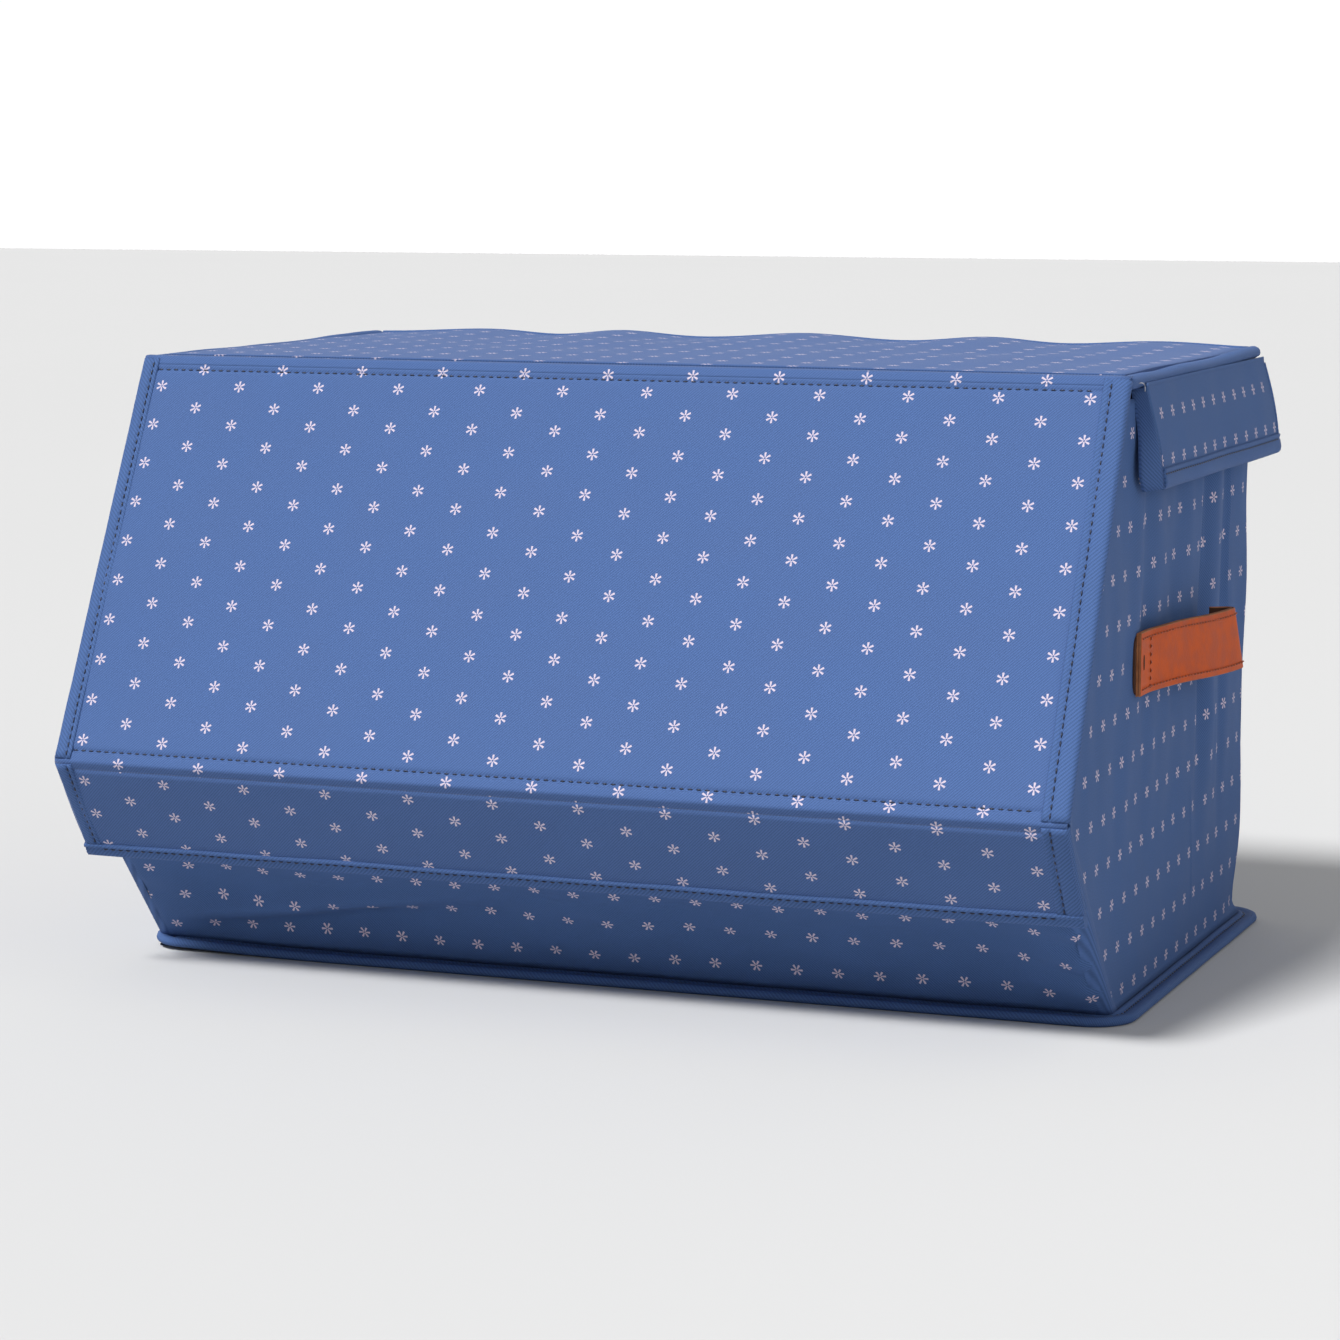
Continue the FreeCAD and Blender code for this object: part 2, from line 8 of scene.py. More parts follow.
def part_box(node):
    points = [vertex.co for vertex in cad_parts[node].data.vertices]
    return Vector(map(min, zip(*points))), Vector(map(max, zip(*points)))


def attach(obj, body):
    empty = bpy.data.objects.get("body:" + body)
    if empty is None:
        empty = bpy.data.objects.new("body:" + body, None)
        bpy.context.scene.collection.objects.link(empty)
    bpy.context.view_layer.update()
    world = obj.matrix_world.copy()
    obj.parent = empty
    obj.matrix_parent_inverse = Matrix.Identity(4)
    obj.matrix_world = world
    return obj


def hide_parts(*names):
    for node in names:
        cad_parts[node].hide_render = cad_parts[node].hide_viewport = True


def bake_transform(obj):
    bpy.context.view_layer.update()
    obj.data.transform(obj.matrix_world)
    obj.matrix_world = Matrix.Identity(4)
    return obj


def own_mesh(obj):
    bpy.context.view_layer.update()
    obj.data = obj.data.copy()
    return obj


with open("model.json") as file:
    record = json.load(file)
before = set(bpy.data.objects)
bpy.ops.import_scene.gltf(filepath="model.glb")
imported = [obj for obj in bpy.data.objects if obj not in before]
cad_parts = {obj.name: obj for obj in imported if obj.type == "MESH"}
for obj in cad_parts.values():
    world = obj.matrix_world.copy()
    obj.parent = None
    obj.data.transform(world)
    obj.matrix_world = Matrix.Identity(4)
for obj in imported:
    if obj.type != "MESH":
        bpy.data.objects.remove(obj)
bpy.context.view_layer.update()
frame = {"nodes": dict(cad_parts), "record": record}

print("frame loaded")

# lines that every piece shares, read from the frame
joints = {j["name"]: j for j in frame["record"]["behaviour"]["joints"]}
topFold = Vector(joints["front_open"]["pos_m"])  # inside the top front edge
midFold = Vector(joints["flap_open"]["pos_m"])  # inside the fold at mid height
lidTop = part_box("lid_cover")[1][2]
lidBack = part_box("lid_cover")[1][1]
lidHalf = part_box("flap_hem")[1][0]
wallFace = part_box("right_wall_upper")[1][0]
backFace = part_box("back_wall")[1][1]
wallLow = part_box("right_wall_lower")[0][2]
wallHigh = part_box("right_wall_upper")[1][2]
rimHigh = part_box("base_rim_binding")[1]
half = lidTop - topFold.z  # half the thickness of a padded panel
slant = math.atan2(topFold.y - midFold.y, topFold.z - midFold.z)
tuck = math.radians(32.4)  # lower flap from the vertical
panelLong = (topFold - midFold).length
flapLong = 0.0607  # lower flap along its slope
footY, footZ = -0.1365, 0.0045  # where the low front wall starts, on the base
downPanel = Vector((0, -math.sin(slant), -math.cos(slant)))
outPanel = Vector((0, -math.cos(slant), math.sin(slant)))
downFlap = Vector((0, math.sin(tuck), -math.cos(tuck)))
outFlap = Vector((0, -math.cos(tuck), -math.sin(tuck)))
right = Vector((1, 0, 0))
up = Vector((0, 0, 1))


def onPanel(u, v, w=0.0):
    return topFold + right * u + downPanel * v + outPanel * w


def onFlap(u, v, w=0.0):
    return midFold + right * u + downFlap * v + outFlap * w


def smooth(low, high, value):
    t = min(1.0, max(0.0, (value - low) / (high - low)))
    return t * t * (3 - 2 * t)


def bump(value, centre, wide):
    return math.exp(-((value - centre) / wide) ** 2)


def ripple(x, y, z, scale, seed=0.0):
    return noise.noise(Vector((x / scale + seed, y / scale, z / scale)))


def circle(count, across, tall):
    turns = [2 * math.pi * k / count for k in range(count)]
    return [(across * math.cos(t), tall * math.sin(t)) for t in turns]


def steps(low, high, count, lines=()):
    # even places from low to high, with more of them round each sewn line
    places = {round(low + (high - low) * k / count, 6) for k in range(count + 1)}
    for line in lines:
        places |= {round(line + shift, 6) for shift in (-0.002, -0.0012, -0.0006, 0, 0.0006, 0.0012, 0.002)}
    return sorted(p for p in places if low - 1e-9 <= p <= high + 1e-9)


# camera and light
camera = {"place": (0.696, -1.843, 0.4035), "yaw": 21.3, "pitch": 7.7, "lens": 103.5}


def addCamera():
    data = bpy.data.cameras.new("camera")
    data.lens = camera["lens"]
    data.sensor_width = 36
    eye = bpy.data.objects.new("camera", data)
    yaw, pitch = math.radians(camera["yaw"]), math.radians(camera["pitch"])
    ahead = Vector((-math.sin(yaw) * math.cos(pitch), math.cos(yaw) * math.cos(pitch), -math.sin(pitch)))
    eye.location = camera["place"]
    eye.rotation_euler = ahead.to_track_quat("-Z", "Y").to_euler()
    bpy.context.collection.objects.link(eye)
    bpy.context.scene.camera = eye


sun = {"elevation": 54, "left": 24, "strength": 3.6, "soft": 14}
sky = {"low": 0.36, "behind": 0.68}
side = {"place": (2.4, -0.5, 1.0), "size": 1.2, "power": 9}


def addLights():
    data = bpy.data.lights.new("key", "SUN")
    data.energy = sun["strength"]
    data.angle = math.radians(sun["soft"])
    lamp = bpy.data.objects.new("key", data)
    tall, turn = math.radians(sun["elevation"]), math.radians(sun["left"])
    towards = Vector((-math.sin(turn) * math.cos(tall), -math.cos(turn) * math.cos(tall), math.sin(tall)))
    lamp.rotation_euler = (-towards).to_track_quat("-Z", "Y").to_euler()
    bpy.context.collection.objects.link(lamp)
    data = bpy.data.lights.new("side", "AREA")
    data.energy = side["power"]
    data.size = side["size"]
    lamp = bpy.data.objects.new("side", data)
    lamp.location = side["place"]
    lamp.rotation_euler = (Vector((0, 0, 0.15)) - lamp.location).to_track_quat("-Z", "Y").to_euler()
    bpy.context.collection.objects.link(lamp)
    world = bpy.data.worlds.new("studio")
    world.use_nodes = True
    bench = Bench(world.node_tree)
    split = bench.put("ShaderNodeSeparateXYZ")
    bench.feed(split.inputs[0], bench.put("ShaderNodeTexCoord").outputs["Generated"])
    away = bench.minus(bench.times(split.outputs[1], 0.93),
                     bench.times(split.outputs[0], 0.36))
    backdrop = bench.between(away, 0.35, 0.85)
    low = bench.between(split.outputs[2], 0.25, 0.6, 1.0, 0.25)
    glow = bench.plus(bench.times(bench.times(backdrop, low), sky["behind"]), sky["low"])
    background = world.node_tree.nodes["Background"]
    background.inputs["Color"].default_value = (1, 1, 1, 1)
    bench.feed(background.inputs["Strength"], glow)
    bpy.context.scene.world = world
    bpy.context.scene.view_settings.view_transform = "Standard"


# shader groups
class Bench:
    # lays out nodes in one tree
    def __init__(self, tree):
        self.tree = tree

    def put(self, kind, **told):
        made = self.tree.nodes.new(kind)
        for name, value in told.items():
            setattr(made, name, value)
        return made

    def feed(self, socket, value):
        if isinstance(value, bpy.types.NodeSocket):
            self.tree.links.new(value, socket)
        else:
            socket.default_value = value

    def sum(self, kind, *values):
        made = self.put("ShaderNodeMath", operation=kind)
        for socket, value in zip(made.inputs, values):
            self.feed(socket, value)
        return made.outputs[0]

    def times(self, first, second):
        return self.sum("MULTIPLY", first, second)

    def plus(self, first, second):
        return self.sum("ADD", first, second)

    def minus(self, first, second):
        return self.sum("SUBTRACT", first, second)

    def between(self, value, low, high, first=0.0, last=1.0):
        made = self.put("ShaderNodeMapRange", interpolation_type="SMOOTHSTEP")
        for name, given in (("Value", value), ("From Min", low), ("From Max", high),
                            ("To Min", first), ("To Max", last)):
            self.feed(made.inputs[name], given)
        return made.outputs["Result"]

    def mix(self, share, first, last):
        made = self.put("ShaderNodeMix", data_type="RGBA")
        self.feed(made.inputs[0], share)
        self.feed(made.inputs[6], first)
        self.feed(made.inputs[7], last)
        return made.outputs[2]

    def grain(self, place, scale, detail=2.0, rough=0.5):
        made = self.put("ShaderNodeTexNoise")
        self.feed(made.inputs["Vector"], place)
        made.inputs["Scale"].default_value = scale
        made.inputs["Detail"].default_value = detail
        made.inputs["Roughness"].default_value = rough
        return made.outputs["Fac"]


def newGroup(name, inputs, outputs):
    tree = bpy.data.node_groups.new(name, "ShaderNodeTree")
    for label, kind, value in inputs:
        socket = tree.interface.new_socket(name=label, in_out="INPUT", socket_type=kind)
        if value is not None:
            socket.default_value = value
    for label, kind in outputs:
        tree.interface.new_socket(name=label, in_out="OUTPUT", socket_type=kind)
    bench = Bench(tree)
    return tree, bench, bench.put("NodeGroupInput"), bench.put("NodeGroupOutput")


def starPrint():
    # a six-petalled star on a staggered lattice, laid out in millimetres on the cloth
    tree, bench, given, made = newGroup(
        "starPrint",
        [("Cloth", "NodeSocketVector", None), ("Column", "NodeSocketFloat", 21.8),
         ("Row", "NodeSocketFloat", 20.8), ("Stagger", "NodeSocketFloat", -9.1),
         ("Radius", "NodeSocketFloat", 3.0)],
        [("Mask", "NodeSocketFloat")])
    split = bench.put("ShaderNodeSeparateXYZ")
    bench.feed(split.inputs[0], given.outputs["Cloth"])
    x = bench.times(split.outputs[0], 1000.0)
    y = bench.times(split.outputs[1], 1000.0)
    column = bench.sum("ROUND", bench.sum("DIVIDE", x, given.outputs["Column"]))
    odd = bench.sum("FLOORED_MODULO", column, 2.0)
    y = bench.minus(y, bench.times(odd, given.outputs["Stagger"]))
    x = bench.minus(x, bench.times(column, given.outputs["Column"]))
    row = bench.sum("ROUND", bench.sum("DIVIDE", y, given.outputs["Row"]))
    y = bench.minus(y, bench.times(row, given.outputs["Row"]))
    far = bench.sum("SQRT", bench.plus(bench.times(x, x), bench.times(y, y)))
    sixth = math.pi / 3
    turn = bench.sum("DIVIDE", bench.sum("ARCTAN2", x, y), sixth)
    off = bench.times(bench.minus(turn, bench.sum("ROUND", turn)), sixth)
    aside = bench.sum("ABSOLUTE", bench.times(far, bench.sum("SINE", off)))
    along = bench.times(far, bench.sum("COSINE", off))
    wide = bench.between(along, 0.3, 2.6, 0.25, 0.50)
    petal = bench.between(bench.minus(wide, aside), -0.07, 0.07)
    tip = bench.between(bench.minus(given.outputs["Radius"], along), -0.06, 0.1)
    heart = bench.between(along, 0.35, 0.55)
    mask = bench.times(bench.times(petal, tip), heart)
    bench.feed(made.inputs["Mask"], mask)
    return tree


def twillWeave():
    # fine diagonal ribs broken up by the yarns, with slow shifts of tone
    tree, bench, given, made = newGroup(
        "twillWeave",
        [("Cloth", "NodeSocketVector", None), ("Pitch", "NodeSocketFloat", 0.9)],
        [("Height", "NodeSocketFloat"), ("Shade", "NodeSocketFloat"), ("Slow", "NodeSocketFloat")])
    split = bench.put("ShaderNodeSeparateXYZ")
    bench.feed(split.inputs[0], given.outputs["Cloth"])
    x = bench.sum("DIVIDE", bench.times(split.outputs[0], 1000.0), given.outputs["Pitch"])
    y = bench.sum("DIVIDE", bench.times(split.outputs[1], 1000.0), given.outputs["Pitch"])
    rib = bench.sum("SINE", bench.times(bench.plus(x, y), math.pi * 1.4))
    yarn = bench.sum("SINE", bench.times(bench.minus(x, y), math.pi * 2.6))
    fuzz = bench.grain(given.outputs["Cloth"], 1500.0, 2.0)
    height = bench.plus(bench.times(rib, 0.5), bench.times(yarn, 0.22))
    height = bench.plus(height, fuzz)
    slow = bench.grain(given.outputs["Cloth"], 22.0, 3.0)
    shade = bench.plus(bench.times(height, 0.34), 0.80)
    bench.feed(made.inputs["Height"], height)
    bench.feed(made.inputs["Shade"], shade)
    bench.feed(made.inputs["Slow"], slow)
    return tree


def hideGrain():
    # pebbled leather surface with darker pores
    tree, bench, given, made = newGroup(
        "hideGrain",
        [("Place", "NodeSocketVector", None)],
        [("Height", "NodeSocketFloat"), ("Tone", "NodeSocketFloat")])
    cells = bench.put("ShaderNodeTexVoronoi")
    bench.feed(cells.inputs["Vector"], given.outputs["Place"])
    cells.inputs["Scale"].default_value = 900.0
    fine = bench.grain(given.outputs["Place"], 2200.0, 3.0)
    tone = bench.grain(given.outputs["Place"], 120.0, 4.0)
    height = bench.plus(cells.outputs["Distance"], bench.times(fine, 0.4))
    bench.feed(made.inputs["Height"], height)
    bench.feed(made.inputs["Tone"], tone)
    return tree


groups = {"star": starPrint(), "twill": twillWeave(), "hide": hideGrain()}


def newMaterial(name):
    made = bpy.data.materials.new(name)
    made.use_nodes = True
    bench = Bench(made.node_tree)
    surface = made.node_tree.nodes["Principled BSDF"]
    return made, bench, surface


def clothPlace(bench):
    return bench.put("ShaderNodeUVMap", uv_map="cloth").outputs["UV"]


def addBump(bench, surface, height, strength, distance):
    made = bench.put("ShaderNodeBump")
    made.inputs["Strength"].default_value = strength
    made.inputs["Distance"].default_value = distance
    bench.feed(made.inputs["Height"], height)
    bench.feed(surface.inputs["Normal"], made.outputs["Normal"])


def clothMaterial(name, colour, deep, printed, pitch=0.9, sheen=0.03, byObject=False):
    made, bench, surface = newMaterial(name)
    place = bench.put("ShaderNodeTexCoord").outputs["Object"] if byObject else clothPlace(bench)
    weave = bench.put("ShaderNodeGroup", node_tree=groups["twill"])
    weave.inputs["Pitch"].default_value = pitch
    bench.feed(weave.inputs["Cloth"], place)
    base = bench.mix(weave.outputs["Slow"], (*deep, 1), (*colour, 1))
    shade = bench.put("ShaderNodeMix", data_type="RGBA", blend_type="MULTIPLY")
    shade.inputs[0].default_value = 1.0
    bench.feed(shade.inputs[6], base)
    bench.feed(shade.inputs[7], weave.outputs["Shade"])
    out = shade.outputs[2]
    if printed:
        star = bench.put("ShaderNodeGroup", node_tree=groups["star"])
        bench.feed(star.inputs["Cloth"], place)
        worn = bench.between(weave.outputs["Height"], -0.3, 0.3, 0.86, 1.0)
        ink = bench.times(star.outputs["Mask"], worn)
        out = bench.mix(ink, out, (0.60, 0.52, 0.62, 1))
    bench.feed(surface.inputs["Base Color"], out)
    bench.feed(surface.inputs["Roughness"], bench.between(weave.outputs["Slow"], 0.3, 0.7, 0.74, 0.86))
    surface.inputs["Sheen Weight"].default_value = sheen
    surface.inputs["Sheen Roughness"].default_value = 0.4
    surface.inputs["Sheen Tint"].default_value = (0.75, 0.8, 1.0, 1)
    surface.inputs["Specular IOR Level"].default_value = 0.16
    addBump(bench, surface, weave.outputs["Height"], 0.35, 0.00012)
    return made


def threadWithPaintedGlints(name, colour):
    made, bench, surface = newMaterial(name)
    place = bench.put("ShaderNodeTexCoord").outputs["Object"]
    # the flecks mixed into the thread colour, up to 2.4 times as bright, are painted glints (painted
    # highlights), not a change of dye
    tone = bench.grain(place, 900.0, 1.0)
    bench.feed(surface.inputs["Base Color"], bench.mix(bench.between(tone, 0.35, 0.75),
                                                      (*colour, 1), (*[c * 2.4 for c in colour], 1)))
    surface.inputs["Roughness"].default_value = 0.42
    surface.inputs["Specular IOR Level"].default_value = 0.6
    addBump(bench, surface, bench.grain(place, 4000.0, 1.0), 0.3, 0.0001)
    return made


def leatherMaterial(name, colour, dark, rough):
    made, bench, surface = newMaterial(name)
    place = bench.put("ShaderNodeTexCoord").outputs["Object"]
    hide = bench.put("ShaderNodeGroup", node_tree=groups["hide"])
    bench.feed(hide.inputs["Place"], place)
    bench.feed(surface.inputs["Base Color"],
               bench.mix(bench.between(hide.outputs["Tone"], 0.3, 0.7), (*dark, 1), (*colour, 1)))
    bench.feed(surface.inputs["Roughness"],
               bench.between(hide.outputs["Tone"], 0.3, 0.7, rough, rough + 0.12))
    surface.inputs["Specular IOR Level"].default_value = 0.14
    surface.inputs["Coat Weight"].default_value = 0.02
    surface.inputs["Coat Roughness"].default_value = 0.35
    addBump(bench, surface, hide.outputs["Height"], 0.35, 0.0002)
    return made


def plainMaterial(name, colour, rough, metallic=0.0, scale=60.0, stretch=(1, 1, 1)):
    made, bench, surface = newMaterial(name)
    shift = bench.put("ShaderNodeMapping")
    shift.inputs["Scale"].default_value = stretch
    bench.feed(shift.inputs["Vector"], bench.put("ShaderNodeTexCoord").outputs["Object"])
    tone = bench.grain(shift.outputs["Vector"], scale, 5.0, 0.6)
    bench.feed(surface.inputs["Base Color"],
               bench.mix(tone, (*[c * 0.8 for c in colour], 1), (*[min(1, c * 1.15) for c in colour], 1)))
    bench.feed(surface.inputs["Roughness"], bench.between(tone, 0.3, 0.7, rough - 0.08, rough + 0.08))
    surface.inputs["Metallic"].default_value = metallic
    addBump(bench, surface, tone, 0.2, 0.0003)
    return made


def floorMaterial(colour):
    made, bench, surface = newMaterial("floor")
    tone = bench.grain(bench.put("ShaderNodeTexCoord").outputs["Object"], 0.4, 1.0)
    bench.feed(surface.inputs["Base Color"],
               bench.mix(tone, (*[c * 0.99 for c in colour], 1), (*[c * 1.01 for c in colour], 1)))
    surface.inputs["Roughness"].default_value = 0.9
    surface.inputs["Specular IOR Level"].default_value = 0.0
    return made


blue = {"lid": (0.070, 0.132, 0.315), "lidDeep": (0.061, 0.116, 0.284),
        "body": (0.064, 0.128, 0.308), "bodyDeep": (0.053, 0.107, 0.262)}
materials = {
    "lidCloth": clothMaterial("lidCloth", blue["lid"], blue["lidDeep"], True, 1.1, 0.14),
    "bodyCloth": clothMaterial("bodyCloth", blue["body"], blue["bodyDeep"], True, 1.1),
    "tape": clothMaterial("tape", blue["lid"], blue["bodyDeep"], False, 1.5),
    "tapeSolid": clothMaterial("tapeSolid", blue["lid"], blue["bodyDeep"], False, 1.5, byObject=True),
    "lining": clothMaterial("lining", (0.02, 0.03, 0.06), (0.014, 0.022, 0.05), False, 1.2, byObject=True),
    "liningCloth": clothMaterial("liningCloth", (0.034, 0.058, 0.13), (0.026, 0.046, 0.11), False, 1.6),
    "hookTape": clothMaterial("hookTape", (0.014, 0.02, 0.05), (0.009, 0.014, 0.035), False, 2.2,
                              byObject=True),
    "thread": threadWithPaintedGlints("thread", (0.006, 0.011, 0.032)),
    "whiteThread": threadWithPaintedGlints("whiteThread", (0.25, 0.25, 0.27)),
    "hideThread": threadWithPaintedGlints("hideThread", (0.21, 0.036, 0.008)),
    "leather": leatherMaterial("leather", (0.55, 0.082, 0.006), (0.43, 0.058, 0.005), 0.48),
    "leatherEdge": leatherMaterial("leatherEdge", (0.5, 0.2, 0.09), (0.3, 0.11, 0.05), 0.7),
    "leatherBack": leatherMaterial("leatherBack", (0.09, 0.04, 0.025), (0.06, 0.028, 0.018), 0.75),
    "wire": plainMaterial("wire", (0.5, 0.5, 0.52), 0.32, 1.0, 300.0, (1, 1, 8)),
    "board": plainMaterial("board", (0.42, 0.34, 0.24), 0.85, 0.0, 200.0, (4, 1, 1)),
    "clip": plainMaterial("clip", (0.03, 0.03, 0.035), 0.5, 0.0, 400.0),
    "floor": floorMaterial((0.60, 0.60, 0.60)),
}


# making meshes
def addPiece(name, points, faces, cloth, material, body, smoothShade=True):
    mesh = bpy.data.meshes.new(name)
    mesh.from_pydata([tuple(p) for p in points], [], faces)
    if cloth is not None:
        layer = mesh.uv_layers.new(name="cloth")
        for loop in mesh.loops:
            layer.data[loop.index].uv = cloth[loop.vertex_index]
    mesh.validate()
    mesh.update()
    if smoothShade:
        mesh.shade_smooth()
    mesh.materials.append(materials[material])
    piece = bpy.data.objects.new(name, mesh)
    bpy.context.collection.objects.link(piece)
    if body:
        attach(piece, body)
    return piece


def squareUp(piece):
    # makes every face of a closed piece look outwards
    work = bmesh.new()
    work.from_mesh(piece.data)
    bmesh.ops.recalc_face_normals(work, faces=work.faces)
    work.to_mesh(piece.data)
    work.free()
    return piece


def shell(name, us, vs, outer, inner, cloth, material, body, inside=None):
    # a closed piece between an outer and an inner surface over the same grid
    points, flat, faces = [], [], []
    wide, tall = len(us), len(vs)
    for surface in (outer, inner):
        for v in vs:
            for u in us:
                points.append(surface(u, v))
                flat.append(cloth(u, v))
    size = wide * tall
    for j in range(tall - 1):
        for i in range(wide - 1):
            a = j * wide + i
            faces.append((a, a + wide, a + wide + 1, a + 1))
            b = a + size
            faces.append((b, b + 1, b + wide + 1, b + wide))
    for i in range(wide - 1):
        low, high = i, (tall - 1) * wide + i
        faces.append((low, low + 1, low + 1 + size, low + size))
        faces.append((high, high + size, high + 1 + size, high + 1))
    for j in range(tall - 1):
        low, high = j * wide, j * wide + wide - 1
        faces.append((low, low + size, low + wide + size, low + wide))
        faces.append((high, high + wide, high + wide + size, high + size))
    piece = addPiece(name, points, faces, flat, material, body)
    covered = 2 * (wide - 1) * (tall - 1)
    if inside:
        piece.data.materials.append(materials[inside])
    for face in piece.data.polygons:
        face.use_smooth = face.index < covered
        if inside and face.index < covered and face.index % 2:
            face.material_index = 1
    return squareUp(piece)


def sweep(name, profile, places, spot, material, body, closed=False, cloth=None):
    # a closed cross-section carried along places; spot gives the point for a place and a profile point
    count, rows = len(profile), len(places)
    points = [spot(place, a, b) for place in places for a, b in profile]
    flat = []
    for place in places:
        run = 0.0
        for k, (a, b) in enumerate(profile):
            if k:
                run += math.dist(profile[k - 1], (a, b))
            flat.append((place, run) if cloth is None else cloth(place, run))
    faces = []
    for r in range(rows if closed else rows - 1):
        first, second = r * count, ((r + 1) % rows) * count
        for k in range(count):
            n = (k + 1) % count
            faces.append((first + k, first + n, second + n, second + k))
    if not closed:
        faces.append(tuple(reversed(range(count))))
        faces.append(tuple(range((rows - 1) * count, rows * count)))
    piece = addPiece(name, points, faces, flat, material, body)
    for face in piece.data.polygons:
        face.use_smooth = len(face.vertices) == 4
    return squareUp(piece)


def stitches(name, lines, body, material="thread", pitch=0.0042, share=0.68, radius=0.00042):
    # lines: lists of (point, outward direction); each stitch is a small arched bar
    points, faces = [], []
    sides, rings = 6, 5
    for line in lines:
        done = 0.0
        for (a, na), (b, nb) in zip(line, line[1:]):
            long = (b - a).length
            if long < 1e-9:
                continue
            along = (b - a) / long
            while done < long:
                centre = a + along * done
                out = (na + (nb - na) * (done / long)).normalized()
                across = along.cross(out).normalized()
                base = len(points)
                for r in range(rings):
                    t = r / (rings - 1)
                    thick = radius * (0.35 + 0.65 * math.sin(math.pi * t) ** 0.5)
                    mid = centre + along * (pitch * share * (t - 0.5))
                    mid += out * radius * (math.sin(math.pi * t) - 0.35)
                    for k in range(sides):
                        turn = 2 * math.pi * k / sides
                        points.append(mid + (across * math.cos(turn) + out * math.sin(turn)) * thick)
                for r in range(rings - 1):
                    for k in range(sides):
                        n = (k + 1) % sides
                        low = base + r * sides
                        faces.append((low + k, low + n, low + sides + n, low + sides + k))
                faces.append(tuple(base + k for k in reversed(range(sides))))
                faces.append(tuple(base + (rings - 1) * sides + k for k in range(sides)))
                done += pitch
            done -= long
    return addPiece(name, points, faces, None, material, body)


def lidCloth(u, v):
    return ((u + 0.2406) * 21.8 / 21.69, v - 0.0154 + 0.0103 * (u + 0.2406))


def bodyCloth(along, height):
    return (height - 0.012, along + 0.006)


# front panel, fold strips and lower flap
panel = {"crown": 0.0012, "topStitch": 0.0062, "lowStitch": 0.0050, "groove": 0.0007, "gap": 0.0036}


def panelSwell(u, v):
    across = math.cos(math.pi * u / (2 * lidHalf)) ** 0.5 if abs(u) < lidHalf else 0.0
    share = (v - panel["gap"]) / (panelLong - 2 * panel["gap"])
    down = math.sin(math.pi * min(1, max(0, share))) ** 0.6
    wave = ripple(u, v, 0, 0.09, 3.0) * 0.0007 + ripple(u, v, 0, 0.03, 8.0) * 0.00018
    swell = panel["crown"] * across * down + wave * down
    for line in (panel["topStitch"], panelLong - panel["lowStitch"]):
        swell -= panel["groove"] * bump(v, line, 0.0011)
    return swell


def makeFrontPanel():
    us = steps(-lidHalf + 0.0008, lidHalf - 0.0008, 72)
    seams = (panel["topStitch"], panelLong - panel["lowStitch"])
    vs = steps(panel["gap"], panelLong - panel["gap"], 44, seams)
    pad = shell("frontPanelPad", us, vs,
                lambda u, v: onPanel(u, v, half + panelSwell(u, v)),
                lambda u, v: onPanel(u, v, -half),
                lidCloth, "lidCloth", "front_panel", "liningCloth")
    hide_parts("front_cover", "front_board", "front_lining")
    lines = []
    for v in seams:
        places = [-lidHalf + 0.011 + 0.01 * k for k in range(49)]
        lines.append([(onPanel(u, v, half + panelSwell(u, v)), outPanel) for u in places])
    stitches("frontPanelStitches", lines, "front_panel")


def arcStrip(centre, first, last, fromAngle, toAngle, lead, trail):
    # cloth that runs straight on, round a fold line, and straight on again
    # first and last are the directions of the straight parts, away from the fold
    count = 7
    us = steps(-lidHalf + 0.0008, lidHalf - 0.0008, 60)
    path = []
    if lead:
        path += [(first * (lead * (1 - k / 3)), fromAngle) for k in range(3)]
    path += [(Vector((0, 0, 0)), fromAngle + (toAngle - fromAngle) * k / (count - 1)) for k in range(count)]
    if trail:
        path += [(last * (trail * (k + 1) / 3), toAngle) for k in range(3)]
    lengths, run = [0.0], 0.0

    def spot(k, u, depth):
        shift, angle = path[k]
        out = Vector((0, -math.cos(angle), math.sin(angle)))
        return centre + shift + out * depth + right * u

    for k in range(1, len(path)):
        run += (spot(k, 0, half) - spot(k - 1, 0, half)).length
        lengths.append(run)
    return us, list(range(len(path))), spot, lengths


def makeFoldStrip(name, centre, first, last, fromAngle, toAngle, lead, trail, vStart, ends):
    us, ks, spot, lengths = arcStrip(centre, first, last, fromAngle, toAngle, lead, trail)
    strip = shell(name, us, ks, lambda u, k: spot(k, u, half), lambda u, k: spot(k, u, half - 0.0009),
                  lambda u, k: lidCloth(u, vStart + lengths[k]), "lidCloth", None)
    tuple(ends[0])
    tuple(ends[1])
    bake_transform(strip)
    return strip


def makeFolds():
    gap = panel["gap"]
    middle = (math.pi / 2 + slant) / 2
    back = Vector((0, 1, 0))
    makeFoldStrip("topFoldBack", topFold, back, downPanel, math.pi / 2, middle, gap, 0,
                  -gap - half * (math.pi / 2 - slant) / 2,
                  (topFold + back * gap, topFold))
    strip = makeFoldStrip("topFoldFront", topFold, back, downPanel, middle, slant, 0, gap,
                          -half * (math.pi / 2 - slant) / 2,
                          (topFold, topFold + downPanel * gap))
    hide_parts("front_fold_band")
    strip = makeFoldStrip("middleFold", midFold, -downPanel, downFlap, slant, -tuck, gap, gap,
                          panelLong - gap,
                          (midFold - downPanel * gap, midFold + downFlap * gap))
    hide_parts("middle_fold_band")


flapLook = {"hem": 0.0088, "crown": 0.0006}


def flapSwell(u, v):
    share = (v - panel["gap"]) / (flapLong - panel["gap"])
    swell = flapLook["crown"] + ripple(u, v, 0, 0.05, 12.0) * 0.0006
    return swell * math.sin(math.pi * min(1, max(0, share)))


